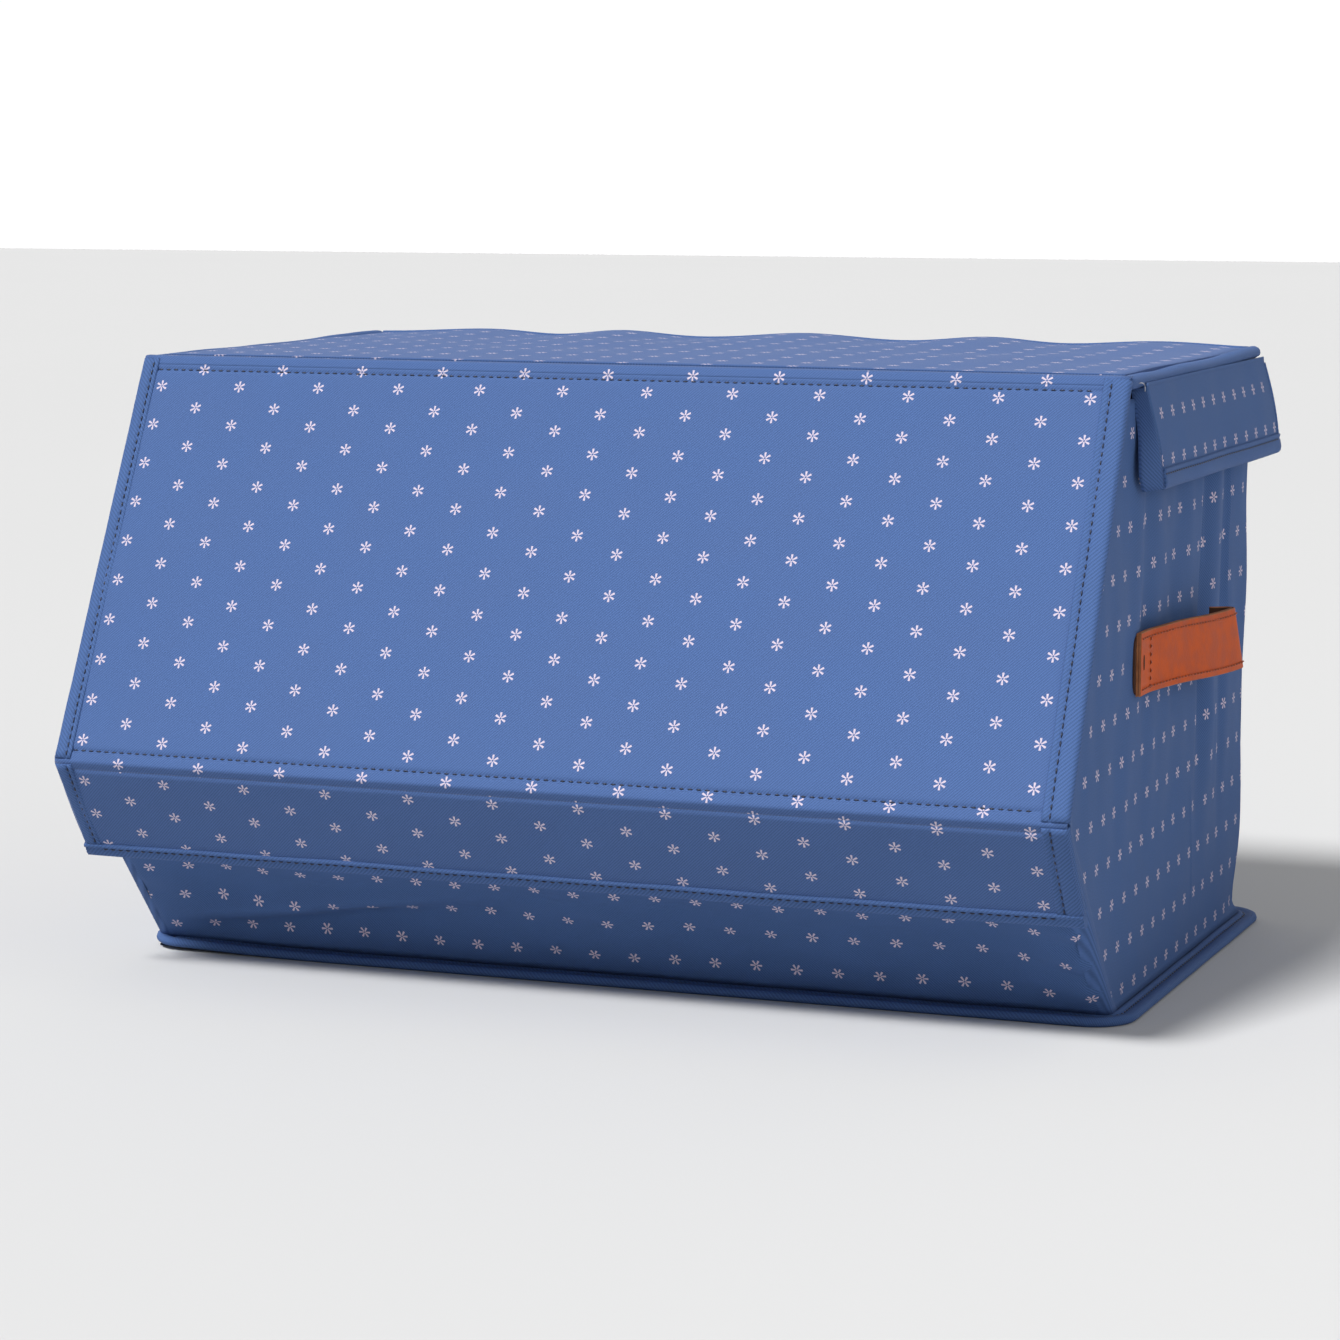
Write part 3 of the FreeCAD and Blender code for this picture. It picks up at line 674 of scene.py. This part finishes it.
def makeFlap():
    us = steps(-lidHalf + 0.0008, lidHalf - 0.0008, 72)
    vs = steps(panel["gap"], flapLong - 0.002, 16)
    pad = shell("lowerFlapPad", us, vs, lambda u, v: onFlap(u, v, half + flapSwell(u, v)),
                lambda u, v: onFlap(u, v, -half),
                lambda u, v: lidCloth(u, panelLong + v), "lidCloth", "lower_flap",
                "liningCloth")
    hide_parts("flap_cover", "flap_board", "flap_lining")
    low = flapLong
    top = low - flapLook["hem"]
    profile = [(top, half), (top + 0.0002, half + 0.0012), (top + 0.001, half + 0.0017),
               (top + 0.0019, half + 0.0015), (top + 0.0026, half + 0.0008), (top + 0.0036, half + 0.0011),
               (low - 0.003, half + 0.0013), (low - 0.0012, half + 0.0008), (low, half - 0.0006),
               (low + 0.0003, -0.0004), (low - 0.0004, -half), (top, -half - 0.0003)]
    places = steps(-lidHalf + 0.0002, lidHalf - 0.0002, 90)

    def spot(u, v, w):
        sway = ripple(u, 0, 0, 0.07, 20.0) * 0.0007
        return onFlap(u, v + sway, w + ripple(u, v, 0, 0.02, 5.0) * 0.0002)

    band = sweep("flapHem", profile, places, spot, "tape", "lower_flap")
    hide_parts("flap_hem")
    seam = top + 0.0029
    stitches("flapHemStitches", [[(spot(u, seam, half + 0.0008), outFlap) for u in places[2:-2]]],
             "lower_flap")


# right and left: width and seam, in from the edge
edgeBand = {"rise": 0.0010, "right": (0.0128, 0.0088), "left": (0.0096, 0.0068)}


def bindingProfile(wide, seam):
    # first value: in from the panel's edge; second: out from the panel's middle
    rise = edgeBand["rise"]
    return [(wide, half), (wide - 0.0004, half + rise * 0.75), (wide - 0.0013, half + rise),
            (seam + 0.0010, half + rise * 0.85), (seam, half + 0.0001), (seam - 0.0010, half + rise * 0.9),
            (seam - 0.0024, half + rise * 1.15), (0.0040, half + rise), (0.0020, half + rise * 1.05),
            (0.0007, half + 0.0002), (0.0, half - 0.0012), (-0.0001, 0.0), (0.0004, -half + 0.0003),
            (0.0016, -half - 0.0003), (0.0075, -half - 0.0003), (0.0075, -half + 0.0008)]


def makeBindings():
    for word, side in (("right", 1), ("left", -1)):
        wide, seam = edgeBand[word]
        for name, place, long, body in (
                ("front", onPanel, panelLong, "front_panel"), ("flap", onFlap, flapLong, "lower_flap")):
            first = 0.0005
            last = long - 0.0005 if name == "front" else long - flapLook["hem"] + 0.0012
            places = steps(first, last, 60 if name == "front" else 16)

            def spot(v, inset, w):
                wander = ripple(0, v, 0, 0.03, 31.0 + side) * 0.00025
                return place(side * (lidHalf - inset + wander), v, w + wander)

            band = sweep(f"{name}Binding_{word}", bindingProfile(wide, seam), places, spot, "tape", body,
                         cloth=lambda v, run: (v, run))
            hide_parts(f"{name}_binding_{word}")
            out = outPanel if name == "front" else outFlap
            lines = [[(spot(v, seam, half + 0.0004), out) for v in places[1:]]]
            stitches(f"{name}BindingStitches_{word}", lines, body)


# lid top, its pipings and side flaps
lidLook = {"dome": 0.0020, "backWave": 0.0036}


def lidSwell(u, y):
    back = smooth(0.02, lidBack, y)
    across = max(0.0, math.cos(math.pi * u / (2 * lidHalf)))
    deep = (y - topFold.y - panel["gap"]) / (lidBack - topFold.y - panel["gap"])
    swell = lidLook["dome"] * across * math.sin(math.pi * min(1, max(0, deep))) ** 0.7
    bumps = 0.5 + 0.5 * math.sin(u * 62 + 1.3 + 2.2 * ripple(u, 0, 0, 0.12, 6.0))
    swell += lidLook["backWave"] * back * bumps * across ** 0.35
    swell += ripple(u, y, 0, 0.07, 14.0) * 0.0012 * math.sin(math.pi * min(1, max(0, deep)))
    return swell


def makeLid():
    edge = wallFace - 0.0022
    us = steps(-edge, edge, 84)
    ys = steps(topFold.y + panel["gap"], lidBack, 36)
    arc = half * (math.pi / 2 - slant)
    pad = shell("lidPad", us, ys, lambda u, y: Vector((u, y, lidTop + lidSwell(u, y))),
                lambda u, y: Vector((u, y, lidTop - 2 * half)),
                lambda u, y: lidCloth(u, -(y - topFold.y) - arc), "lidCloth", "lid",
                "liningCloth")
    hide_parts("lid_cover", "lid_board", "lid_lining")
    # turned back edge of the lid
    profile = [(0.0046 * math.cos(t) * (1.0 if math.cos(t) > 0 else 0.8), 0.0030 * math.sin(t))
               for t in (2 * math.pi * k / 10 for k in range(10))]

    def backSpot(u, a, b):
        return Vector((u, lidBack - 0.0036 + a * 0.6, lidTop - half * 0.9 + b + lidSwell(u, lidBack) * 0.8))

    sweep("lidBackRoll", profile, us, backSpot, "tape", "lid")


def makePiping(word, side):
    low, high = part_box(f"{word}_piping")
    radius = (high[0] - low[0]) / 2
    x, z = (low[0] + high[0]) / 2, (low[2] + high[2]) / 2
    start, stop = topFold.y - 0.001, high[1] + 0.0015
    profile = circle(14, 1, 1)
    places = [start + (stop - start) * k / 70 for k in range(71)]

    def spot(y, a, b):
        near = min(y - start, stop - y)
        fat = radius * (0.35 + 0.65 * min(1, max(0.0, near / 0.006)) ** 0.5)
        fat *= 1 + 0.07 * ripple(0, y, 0, 0.03, 4.0 + side)
        rise = 0.0016 * smooth(0.02, stop, y) + 0.0005 * ripple(0, y, 0, 0.05, 9.0 + side)
        seam = 1 - 0.16 * bump(b, -0.75, 0.2) * (1 if a * side > 0 else 0)
        return Vector((x + fat * a * seam * 1.02, y, z + fat * b * seam + rise))

    tube = sweep(f"{word}Piping", profile, places, spot, "tape", "lid",
                 cloth=lambda y, run: (y, run * radius))
    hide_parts(f"{word}_piping")


skirt = {"hem": 0.0100, "sheet": 0.0022, "flare": math.radians(8.0), "front": -0.105, "more": 0.0045}


def makeSkirt(word, side):
    hinge = Vector(joints[f"{word}_side_flap_lift"]["pos_m"])
    drop = 0.0482
    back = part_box(f"{word}_skirt_cover")[1][1] + 0.0012

    def place(y, down, out=0.0):
        # down from the hinge line, standing out further towards the back
        deep = max(0.0, down)
        lean = skirt["flare"] + 0.05 * smooth(-0.05, back, y)
        curl = 0.0012 * math.sin(math.pi * min(1.0, deep / drop))
        curl += ripple(0, y, deep, 0.05, 40.0 + side) * 0.0009
        x = hinge.x * side - 0.0003 + math.sin(lean) * deep + (out + curl) * math.cos(lean)
        z = hinge.z - math.cos(lean) * down + math.sin(lean) * out
        return Vector((side * x, y + 0.0016 * smooth(0.0, back, y) * deep / drop, z))

    def frontAt(down):
        return skirt["front"] - 0.002 + 0.010 * smooth(0.0, drop, down)

    downs = steps(-0.0022, drop - 0.001, 18)
    shares = [k / 60 for k in range(61)]

    def yAt(share, down):
        return frontAt(down) + (back - frontAt(down)) * share

    cover = shell(f"{word}SkirtSheet", shares, downs, lambda s, d: place(yAt(s, d), d, 0.0005),
                  lambda s, d: place(yAt(s, d), d, 0.0005 - skirt["sheet"]),
                  lambda s, d: bodyCloth(yAt(s, d), hinge.z - d - 0.0080), "bodyCloth", None,
                  "liningCloth")
    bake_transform(cover)
    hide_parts(f"{word}_skirt_cover", f"{word}_skirt_board", f"{word}_skirt_lining")
    # hem: a ridge, a sewn groove and the turned band
    top = drop - skirt["hem"]
    profile = [(top, 0.0004), (top + 0.0003, 0.0013), (top + 0.0010, 0.0016), (top + 0.0018, 0.0013),
               (top + 0.0026, 0.0009), (top + 0.0038, 0.0014), (drop - 0.0028, 0.0016),
               (drop - 0.0008, 0.0010), (drop + 0.0002, -0.0003), (drop - 0.0004, -0.0017),
               (drop - 0.003, -0.0022), (top, -0.0021)]
    band = sweep(f"{word}SkirtHem", profile, shares,
                 lambda s, d, w: place(yAt(s, d) + (0.0008 if s == 1 else 0), d, w), "tape",
                 f"{word}_side_flap", cloth=lambda s, run: (s * 0.24, run))
    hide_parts(f"{word}_skirt_hem")
    seam = top + 0.0030
    line = [(place(yAt(s, seam), seam, 0.0010), right * side) for s in shares[1:-1]]
    stitches(f"{word}SkirtStitches", [line], f"{word}_side_flap")
    # narrow binding down the back end
    sweep(f"{word}SkirtEdge", circle(8, 0.0016, 0.0017), steps(0.001, drop - 0.001, 14),
          lambda d, a, b: place(back + a, d, -0.0006 + b), "tape", f"{word}_side_flap")
    # twill corner turned in at the front end
    rows = steps(0.0, drop - 0.0002, 16)

    def corner(t, d):
        taper = 1 - 0.5 * smooth(drop * 0.86, drop, d)
        wide = 0.0012 + 0.0088 * smooth(drop * 0.25, drop * 0.85, d) * taper
        y = frontAt(d) - wide * t
        return place(y, d, 0.0006 - 0.0062 * t ** 1.3 - 0.002 * t * d / drop)

    shell(f"{word}SkirtCorner", [k / 6 for k in range(7)], rows, corner,
          lambda t, d: corner(t, d) - right * side * 0.0012,
          lambda t, d: (d, t * 0.014), "tape", f"{word}_side_flap")


# soft walls
def frontEdge(z):
    # the side wall's front line, just inside the panel and the flap
    inset = 2 * half + 0.0009
    cornerZ = midFold.z + 0.0004
    cornerY = midFold.y + inset * 0.58
    if z >= cornerZ:
        return cornerY + (z - cornerZ) * math.tan(slant)
    return footY + (cornerY - footY) * (z - footZ) / (cornerZ - footZ)


def roundedEdge(z):
    # the same line with the corner at mid height eased
    spread = 0.010
    return sum(frontEdge(z + shift * spread) for shift in (-1, -0.5, 0, 0.5, 1)) / 5


# how far out, place, share of the lean, width, and the heights where the fold starts and is full
wallCreases = [(-0.0044, -0.062, 1.0, 0.013, (0.05, 0.30)), (0.0022, -0.088, 1.0, 0.012, (0.05, 0.30)),
               (-0.0040, 0.052, 0.9, 0.008, (0.03, 0.16)), (0.0018, 0.070, 0.9, 0.010, (0.03, 0.16)),
               (-0.0030, 0.092, 0.6, 0.007, (0.03, 0.16)), (-0.0016, -0.010, 0.8, 0.020, (0.03, 0.16))]


def wallFolds(y, z, side):
    # how far the side wall stands out (+) or in (-) from its flat face
    mid = smooth(0.03, 0.16, z)
    lean = (0.29 - z) * 0.10
    out = -0.0008
    for deep, place, share, wide, reach in wallCreases:
        out += deep * bump(y, place - lean * share, wide) * smooth(*reach, z)
    for place, low, top, tall in ((0.047, 0.186, 0.262, 0.0009), (0.095, 0.150, 0.250, 0.0007),
                                  (0.020, 0.020, 0.100, 0.0006)):
        span = smooth(low, low + 0.02, z) * (1 - smooth(top - 0.02, top, z))
        out += tall * bump(y, place, 0.0010) * span
    out += ripple(y, z * 0.35, 0, 0.020, 50.0 + side) * 0.0011 * mid
    out += ripple(y, z, 0, 0.075, 60.0 + side) * 0.0016
    corner = bump(y, backFace, 0.030) * bump(z, 0.004, 0.034)
    out -= 0.0042 * corner
    return min(out, 0.0012)


def makeSideWall(word, side):
    rows = steps(wallLow - 0.0003, wallHigh, 92)
    bandWide, bandColumns, columns = 0.0128, 9, 190
    back = backFace - 0.0024

    def yAt(column, z):
        front = roundedEdge(z)
        if column <= bandColumns:
            return front + bandWide * column / bandColumns
        return front + bandWide + (back - front - bandWide) * (column - bandColumns) / (columns - bandColumns)

    def outer(share, z, depth=0.0):
        y = yAt(share, z)
        fromFront = y - roundedEdge(z)
        fromBack = back - y
        curl = 0.0
        if fromFront < 0.0065:
            curl += 0.0065 - math.sqrt(max(0.0, 0.0065 ** 2 - (0.0065 - fromFront) ** 2))
        if fromBack < 0.004:
            curl += 0.004 - math.sqrt(max(0.0, 0.004 ** 2 - (0.004 - fromBack) ** 2))
        easing = (smooth(0.0, 0.02, fromFront) * smooth(0.0, 0.006, z - wallLow + 0.001)
                  * smooth(-0.001, 0.012, wallHigh - z))
        band = 0.0006 * (1 - smooth(0.0120, 0.0136, fromFront))
        tall = wallFolds(y, z, side) * easing + band - 0.0003
        return Vector((side * (wallFace + tall - curl - depth), y, z))

    sheet = shell(f"{word}SideWall", list(range(columns + 1)), rows, outer, lambda s, z: outer(s, z, 0.0011),
                  lambda s, z: bodyCloth(yAt(s, z), z), "bodyCloth", None, "liningCloth")
    sheet.data.materials.append(materials["tape"])
    for face in sheet.data.polygons:
        corners = [sheet.data.vertices[v].co for v in face.vertices]
        ahead = max(c.y - roundedEdge(c.z) for c in corners)
        if ahead < bandWide + 0.00005 and face.material_index == 0:
            face.material_index = 2
    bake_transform(sheet)
    area = sum((backFace - roundedEdge(z)) for z in rows) / len(rows) * (wallHigh - wallLow)
    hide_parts(f"{word}_wall_lower", f"{word}_wall_crease", f"{word}_wall_upper")


def makeFrontWall():
    reach = wallFace - 0.0012
    us = steps(-reach, reach, 150)
    vs = [k / 34 for k in range(35)]
    foot = Vector((0, -0.1372, 0.0046))
    head = Vector((0, midFold.y + 0.0062, midFold.z - 0.003))
    away = (head - foot).normalized()
    out = Vector((0, -away.z, away.y))
    long = (head - foot).length

    def surface(u, t, depth=0.0):
        v = t * long
        pull = -0.0060 * math.sin(math.pi * min(1, v / 0.075))
        sideEase = smooth(0.004, 0.05, reach - abs(u))
        climb = 0.16 * (u + 0.23)
        fold = 0.0045 * bump(v, 0.020 + climb, 0.008) - 0.0030 * bump(v, 0.006 + climb, 0.009)
        fold *= smooth(-0.24, -0.20, u) * (1 - smooth(-0.12, -0.02, u))
        pucker = 0.0012 * math.sin(v * 300 + u * 40) * bump(u, reach, 0.028) * smooth(0, 0.02, v)
        pucker += 0.0010 * ripple(u, v * 2.0, 0, 0.022, 70.0)
        roll = ripple(u, v * 0.8, 0, 0.055, 77.0) * 0.0030
        lift = pull * (0.08 + 0.92 * sideEase) + fold + roll * (0.3 + 0.7 * sideEase) + pucker
        lift *= smooth(0.0, 0.006, v)
        edge = -0.0035 * (1 - smooth(0.0, 0.006, reach - abs(u)))
        return foot + away * v + out * (lift + edge - depth) + right * u

    sheet = shell("frontLowWall", us, vs, surface, lambda u, t: surface(u, t, 0.0011),
                  lambda u, t: bodyCloth(u, t * long), "bodyCloth", "base", "liningCloth")
    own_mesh(sheet)
    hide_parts("front_wall")


def makeBackWall():
    reach = wallFace - 0.0022
    us = steps(-reach, reach, 110)
    zs = steps(wallLow, wallHigh, 40)

    def surface(u, z, depth=0.0):
        ease = smooth(0.0, 0.03, reach - abs(u))
        ease *= smooth(0, 0.02, z - wallLow) * smooth(0, 0.02, wallHigh - z)
        soft = ripple(u, z * 0.35, 0, 0.045, 80.0) * 0.0012 + ripple(u, z, 0, 0.12, 85.0) * 0.0012 - 0.0002
        soft = max(-0.0008, soft)
        u *= 1 - 0.014 * bump(z, 0.004, 0.034)
        edge = 0.003 * (1 - smooth(0.0, 0.005, reach - abs(u)))
        return Vector((u, backFace + min(0.0001, soft * ease) - edge - depth, z))

    sheet = shell("backWall", us, zs, surface, lambda u, z: surface(u, z, 0.0011),
                  bodyCloth, "bodyCloth", "base", "liningCloth")
    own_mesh(sheet)
    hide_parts("back_wall")


def makeLoopStrips():
    # soft strips sewn to the low front wall; they go down with it
    low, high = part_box("loop_strips")
    wide = 2 * (high[0] - 0.120)
    lean = math.atan2(midFold.y + 0.0072 - footY, midFold.z - footZ)
    for word, side in (("right", 1), ("left", -1)):
        middle = side * (high[0] - wide / 2)
        us = [middle - wide / 2 + wide * k / 12 for k in range(13)]

        def surface(u, share, depth):
            z = low[2] + (high[2] - low[2]) * share
            y = low[1] + (high[1] - low[1]) * (1 - share) + 0.0002
            return Vector((u, y - 0.0011 * math.cos(lean) * depth, z + 0.0011 * math.sin(lean) * depth))

        strip = shell(f"{word}LoopStrip", us, [k / 6 for k in range(7)], lambda u, t: surface(u, t, 1),
                      lambda u, t: surface(u, t, 0), lambda u, t: (u, t * 0.016), "hookTape", "base")
        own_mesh(strip)
        if word == "right":
            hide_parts("loop_strips")


def makeTopFrame():
    # the frame under the lid, wrapped in cloth
    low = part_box("top_rim_board")[0][2]
    (x1, y1, _), (x2, y2, high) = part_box("top_hem")
    wide, tall, soft = 0.0153, high - low, 0.0009
    corners = [(x1, y1, 1, 1), (x2, y1, -1, 1), (x2, y2, -1, -1), (x1, y2, 1, -1)]
    spots = []
    for k, (x, y, inX, inY) in enumerate(corners):
        nx, ny = corners[(k + 1) % 4][:2]
        for n in range(24):
            share = n / 24
            blendX = inX if n == 0 else (0 if ny == y else inX)
            blendY = inY if n == 0 else (0 if nx == x else inY)
            spots.append((x + (nx - x) * share, y + (ny - y) * share, blendX, blendY))
    profile = [(soft, 0.0), (wide - soft, 0.0), (wide, soft), (wide, tall - soft), (wide - soft, tall),
               (wide * 0.5, tall - 0.0002), (soft, tall), (0.0, tall - soft), (0.0, soft)]

    def spot(k, a, b):
        x, y, inX, inY = spots[k]
        return Vector((x + inX * a, y + inY * a, low + b))

    ring = sweep("topFrame", profile, list(range(len(spots))), spot, "tape", "top_frame",
                 closed=True, cloth=lambda k, run: (k * 0.014, run))
    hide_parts("top_rim_board", "top_hem")


def makeStayEyes():
    # wire eyes that carry the stay on the fold line
    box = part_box("front_stay_wire")
    radius = 0.00175
    x = box[1][0] - radius
    depth = -(half + 0.0004 + radius)
    path = [(0.0135, depth), (0.0095, depth), (0.0055, depth), (0.0025, depth * 0.86),
            (0.0008, depth * 0.55), (0.0, 0.0)]
    for word, side in (("right", 1), ("left", -1)):
        def spot(k, a, b):
            v, w = path[k]
            v1, w1 = path[max(0, k - 1)]
            v2, w2 = path[min(len(path) - 1, k + 1)]
            along = (downPanel * (v2 - v1) + outPanel * (w2 - w1)).normalized()
            thick = 1.04 if k < 4 else 0.9
            return onPanel(side * x, v, w) + (right * a + along.cross(right) * b) * thick

        sweep(f"{word}StayEye", circle(12, radius, radius), list(range(len(path))), spot, "wire",
              "front_fold")


def makeLooseThread():
    start = Vector((lidHalf - 0.001, topFold.y + 0.012, lidTop - 0.004))
    path = []
    for t in (k / 12 for k in range(13)):
        path.append(start + Vector((0.0006 + 0.0018 * math.sin(t * 2.4), 0.0075 * t,
                                    0.0012 * math.sin(t * 4) - 0.003 * t)))

    def spot(k, a, b):
        return path[k] + right * a + up * b

    ring = circle(6, 0.00022, 0.00022)
    sweep("looseThread", ring, list(range(13)), spot, "whiteThread", "lid")


# base rim
rim = {"corner": 0.022, "wide": 0.0098}


def makeRim():
    x, y = rimHigh[0], rimHigh[1]
    radius = rim["corner"]
    path = []
    for cx, cy, first in ((x - radius, y - radius, 0), (-x + radius, y - radius, 90),
                          (-x + radius, -y + radius, 180), (x - radius, -y + radius, 270)):
        for k in range(9):
            turn = math.radians(first + 90 * k / 8)
            path.append((Vector((cx, cy, 0)), Vector((math.cos(turn), math.sin(turn), 0))))
    spots = []
    for k, (centre, out) in enumerate(path):
        here = centre + out * radius
        nextCentre, nextOut = path[(k + 1) % len(path)]
        there = nextCentre + nextOut * radius
        spots.append((here, out))
        gap = (there - here).length
        count = int(gap / 0.008)
        for n in range(1, count):
            spots.append((here + (there - here) * n / count, out))
    wide, tall = rim["wide"], rimHigh[2]
    profile = [(-wide, 0.0006), (-wide * 0.5, 0.0), (-0.0016, 0.0001), (-0.0003, 0.0010), (0.0, tall * 0.5),
               (-0.0006, tall * 0.85), (-0.0020, tall), (-wide * 0.5, tall * 0.94),
               (-wide * 0.66, tall * 0.72), (-wide * 0.80, tall * 0.96), (-wide * 0.95, tall * 1.06),
               (-wide - 0.0012, tall * 0.9)]

    def spot(k, a, b):
        here, out = spots[k]
        lift = 0.0022 * smooth(-0.16, -0.262, here.x) * smooth(0.05, -0.10, here.y)
        wave = ripple(here.x, here.y, 0, 0.05, 90.0) * 0.0006
        pinch = right * 0.0055 * smooth(-0.225, -0.262, here.x) * smooth(0.0, -0.12, here.y)
        rise = max(0.0, b + wave * smooth(0.0, 0.002, b)) + lift
        return here + pinch + out * (a + wave * 0.7) + up * rise

    ring = sweep("baseRim", profile, list(range(len(spots))), spot, "tape", "base",
                 closed=True, cloth=lambda k, run: (k * 0.008, run))
    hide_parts("base_rim_binding")
    line = [(spot(k % len(spots), -wide * 0.68, tall * 0.74), up) for k in range(len(spots) + 1)]
    stitches("baseRimStitches", [line], "base")


# handles
strap = {"layer": 0.0012, "soft": 0.00035, "seam": 0.0030}


def strapPath(share):
    # plan line of the strap: y and how far out it stands, as a share of its length
    points = [(-0.100, 0.0016), (-0.0905, 0.0016), (-0.080, 0.0020), (-0.062, 0.0048), (-0.035, 0.0095),
              (-0.008, 0.0138), (0.018, 0.0170), (0.032, 0.0186), (0.0378, 0.0188), (0.0402, 0.0172),
              (0.0400, 0.0136), (0.0376, 0.0078), (0.0360, 0.0026)]
    place = share * (len(points) - 1)
    k = min(int(place), len(points) - 2)
    t = place - k
    before, after = points[max(0, k - 1)], points[min(len(points) - 1, k + 2)]
    a, b = points[k], points[k + 1]

    def curve(n):
        return 0.5 * (2 * a[n] + (b[n] - before[n]) * t
                      + (2 * before[n] - 5 * a[n] + 4 * b[n] - after[n]) * t * t
                      + (3 * a[n] - before[n] - 3 * b[n] + after[n]) * t ** 3)

    return curve(0), curve(1)


def plate(name, ring, side, depths, body, smoothShade):
    # a flat piece of leather, its outline standing between two distances from the middle
    count = len(ring)
    points = [Vector((side * x, y, z)) for x in depths for y, z in ring]
    faces = [tuple(range(count)), tuple(reversed(range(count, 2 * count)))]
    faces += [(k, (k + 1) % count, count + (k + 1) % count, count + k) for k in range(count)]
    squareUp(addPiece(name, points, faces, None, "leatherBack", body, smoothShade))


def makeHandle(word, side):
    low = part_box(f"{word}_handle_strap")[0][2]
    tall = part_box(f"{word}_handle_strap")[1][2] - low

    def spot(share, height, out):
        y, stand = strapPath(share)
        y2, stand2 = strapPath(min(1.0, share + 0.004))
        y1, stand1 = strapPath(max(0.0, share - 0.004))
        run = Vector((stand2 - stand1, y2 - y1, 0)).normalized()
        normal = Vector((run.y, -run.x, 0))
        level = height / tall
        scale = (1.0 if stand < 0.0022 else 1.0 - 0.26 * level * smooth(0.0022, 0.010, stand))
        dip = -0.0025 * smooth(-0.06, 0.03, y)
        where = Vector((wallFace + stand * scale, y, low + height + dip)) + normal * out
        return Vector((side * where.x, where.y, where.z))

    upper, moving = f"{word}_upper_side", f"{word}_handle"
    halves = {
        "Front": (0.0, 0.75, (upper, moving), ((side * wallFace, -0.083, 0), (side * wallFace, -0.058, 0))),
        "Back": (0.75, 1.0, (moving, upper),
                 ((side * (wallFace + 0.0172), 0.0402, 0), (side * (wallFace + 0.003), 0.0360, 0))),
    }
    for name, (first, last, bodies, ends) in halves.items():
        for layer, inner, outer, material in (("Strap", 0.0001, strap["layer"], "leather"),
                                              ("Lining", -strap["layer"], -0.0001, "leatherBack")):
            count = round(90 * (last - first))
            shares = [first + (last - first) * k / count for k in range(count + 1)]
            soft = strap["soft"]
            rise = [(tall - 2 * soft) * k / 6 for k in range(7)]
            profile = [(soft + r, outer) for r in rise] + [(tall, outer - soft), (tall, inner + soft * 0.5)]
            profile += [(tall - soft - r, inner) for r in rise]
            profile += [(0.0, inner + soft * 0.5), (0.0, outer - soft)]
            piece = sweep(f"{word}Handle{layer}{name}", profile, shares, spot, material, None)
            piece.data.materials.append(materials["leatherEdge"])
            for face in piece.data.polygons:
                span = [piece.data.vertices[v].co.z for v in face.vertices]
                if max(span) - min(span) < 0.0016 or len(face.vertices) > 4:
                    face.material_index = 1
            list(bodies)
            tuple(ends[0])
            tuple(ends[1])
            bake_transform(piece)
            if name == "Front":
                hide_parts(f"{word}_handle_strap" if layer == "Strap" else f"{word}_handle_lining",
                            f"{word}_handle_ends")
        surface = strap["layer"] + 0.0001
        lines = []
        near = [first + (last - first) * k / 40 for k in range(41)]
        near = [s for s in near if 0.02 < s < 0.80]
        for height in (strap["seam"], tall - strap["seam"]):
            ways = [(spot(s, height, surface), spot(s, height, surface + 0.001)) for s in near]
            lines.append([(here, (there - here).normalized()) for here, there in ways])
        if name == "Front":
            heights = (strap["seam"], 0.010, 0.017, 0.024, tall - strap["seam"])
            lines.append([(spot(0.148, h, surface), right * side) for h in heights])
        made = stitches(f"{word}HandleStitches{name}", lines, None, "hideThread",
                        0.0038, 0.6, 0.0005)
        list(bodies)
        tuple(ends[0])
        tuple(ends[1])
        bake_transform(made)
    # leather patch under the front end, and the slit near it
    ring = []
    for k in range(28):
        turn = 2 * math.pi * k / 28
        c, s = math.cos(turn), math.sin(turn)
        ring.append((math.copysign(abs(c) ** 0.4, c) * 0.0125 - 0.0905,
                     math.copysign(abs(s) ** 0.4, s) * (tall / 2 - 0.0004) + low + tall / 2))
    plate(f"{word}HandlePatch", ring, side, (wallFace + 0.0005, wallFace - 0.0004), upper, False)
    slit = [(a - 0.0945, b + low + tall * 0.52) for a, b in circle(16, 0.0009, 0.0036)]
    top = wallFace + 0.0016 + strap["layer"]
    plate(f"{word}HandleSlit", slit, side, (top + 0.00022, top - 0.0004), upper, True)


# finishes of the CAD nodes that stay
def finishNodes():
    kinds = (("hoop", "wire"), ("pins", "wire"), ("stay", "wire"), ("clips", "clip"), ("board", "board"),
             ("strips", "hookTape"), ("lining", "lining"), ("base_cover", "lining"))
    for name, thing in frame["nodes"].items():
        kind = next((m for word, m in kinds if word in name), "tapeSolid")
        thing.data.materials.clear()
        thing.data.materials.append(materials[kind])


def makeFloor():
    mesh = bpy.data.meshes.new("floor")
    wide = 12.0
    corners = [(-wide, -wide, 0), (wide, -wide, 0), (wide, wide, 0), (-wide, wide, 0)]
    mesh.from_pydata(corners, [], [(0, 1, 2, 3)])
    mesh.materials.append(materials["floor"])
    floor = bpy.data.objects.new("floor", mesh)
    bpy.context.collection.objects.link(floor)


addCamera()
addLights()
makeFloor()
finishNodes()
print("camera, lights and CAD finishes done")
makeFrontPanel()
makeFolds()
makeFlap()
makeBindings()
print("front panel and flap done")
makeLid()
for word, side in (("right", 1), ("left", -1)):
    makePiping(word, side)
    makeSkirt(word, side)
    makeSideWall(word, side)
    makeHandle(word, side)
print("lid, side flaps, side walls and handles done")
makeFrontWall()
makeBackWall()
makeRim()
makeLoopStrips()
makeTopFrame()
makeStayEyes()
makeLooseThread()
print("soft walls and base rim done")
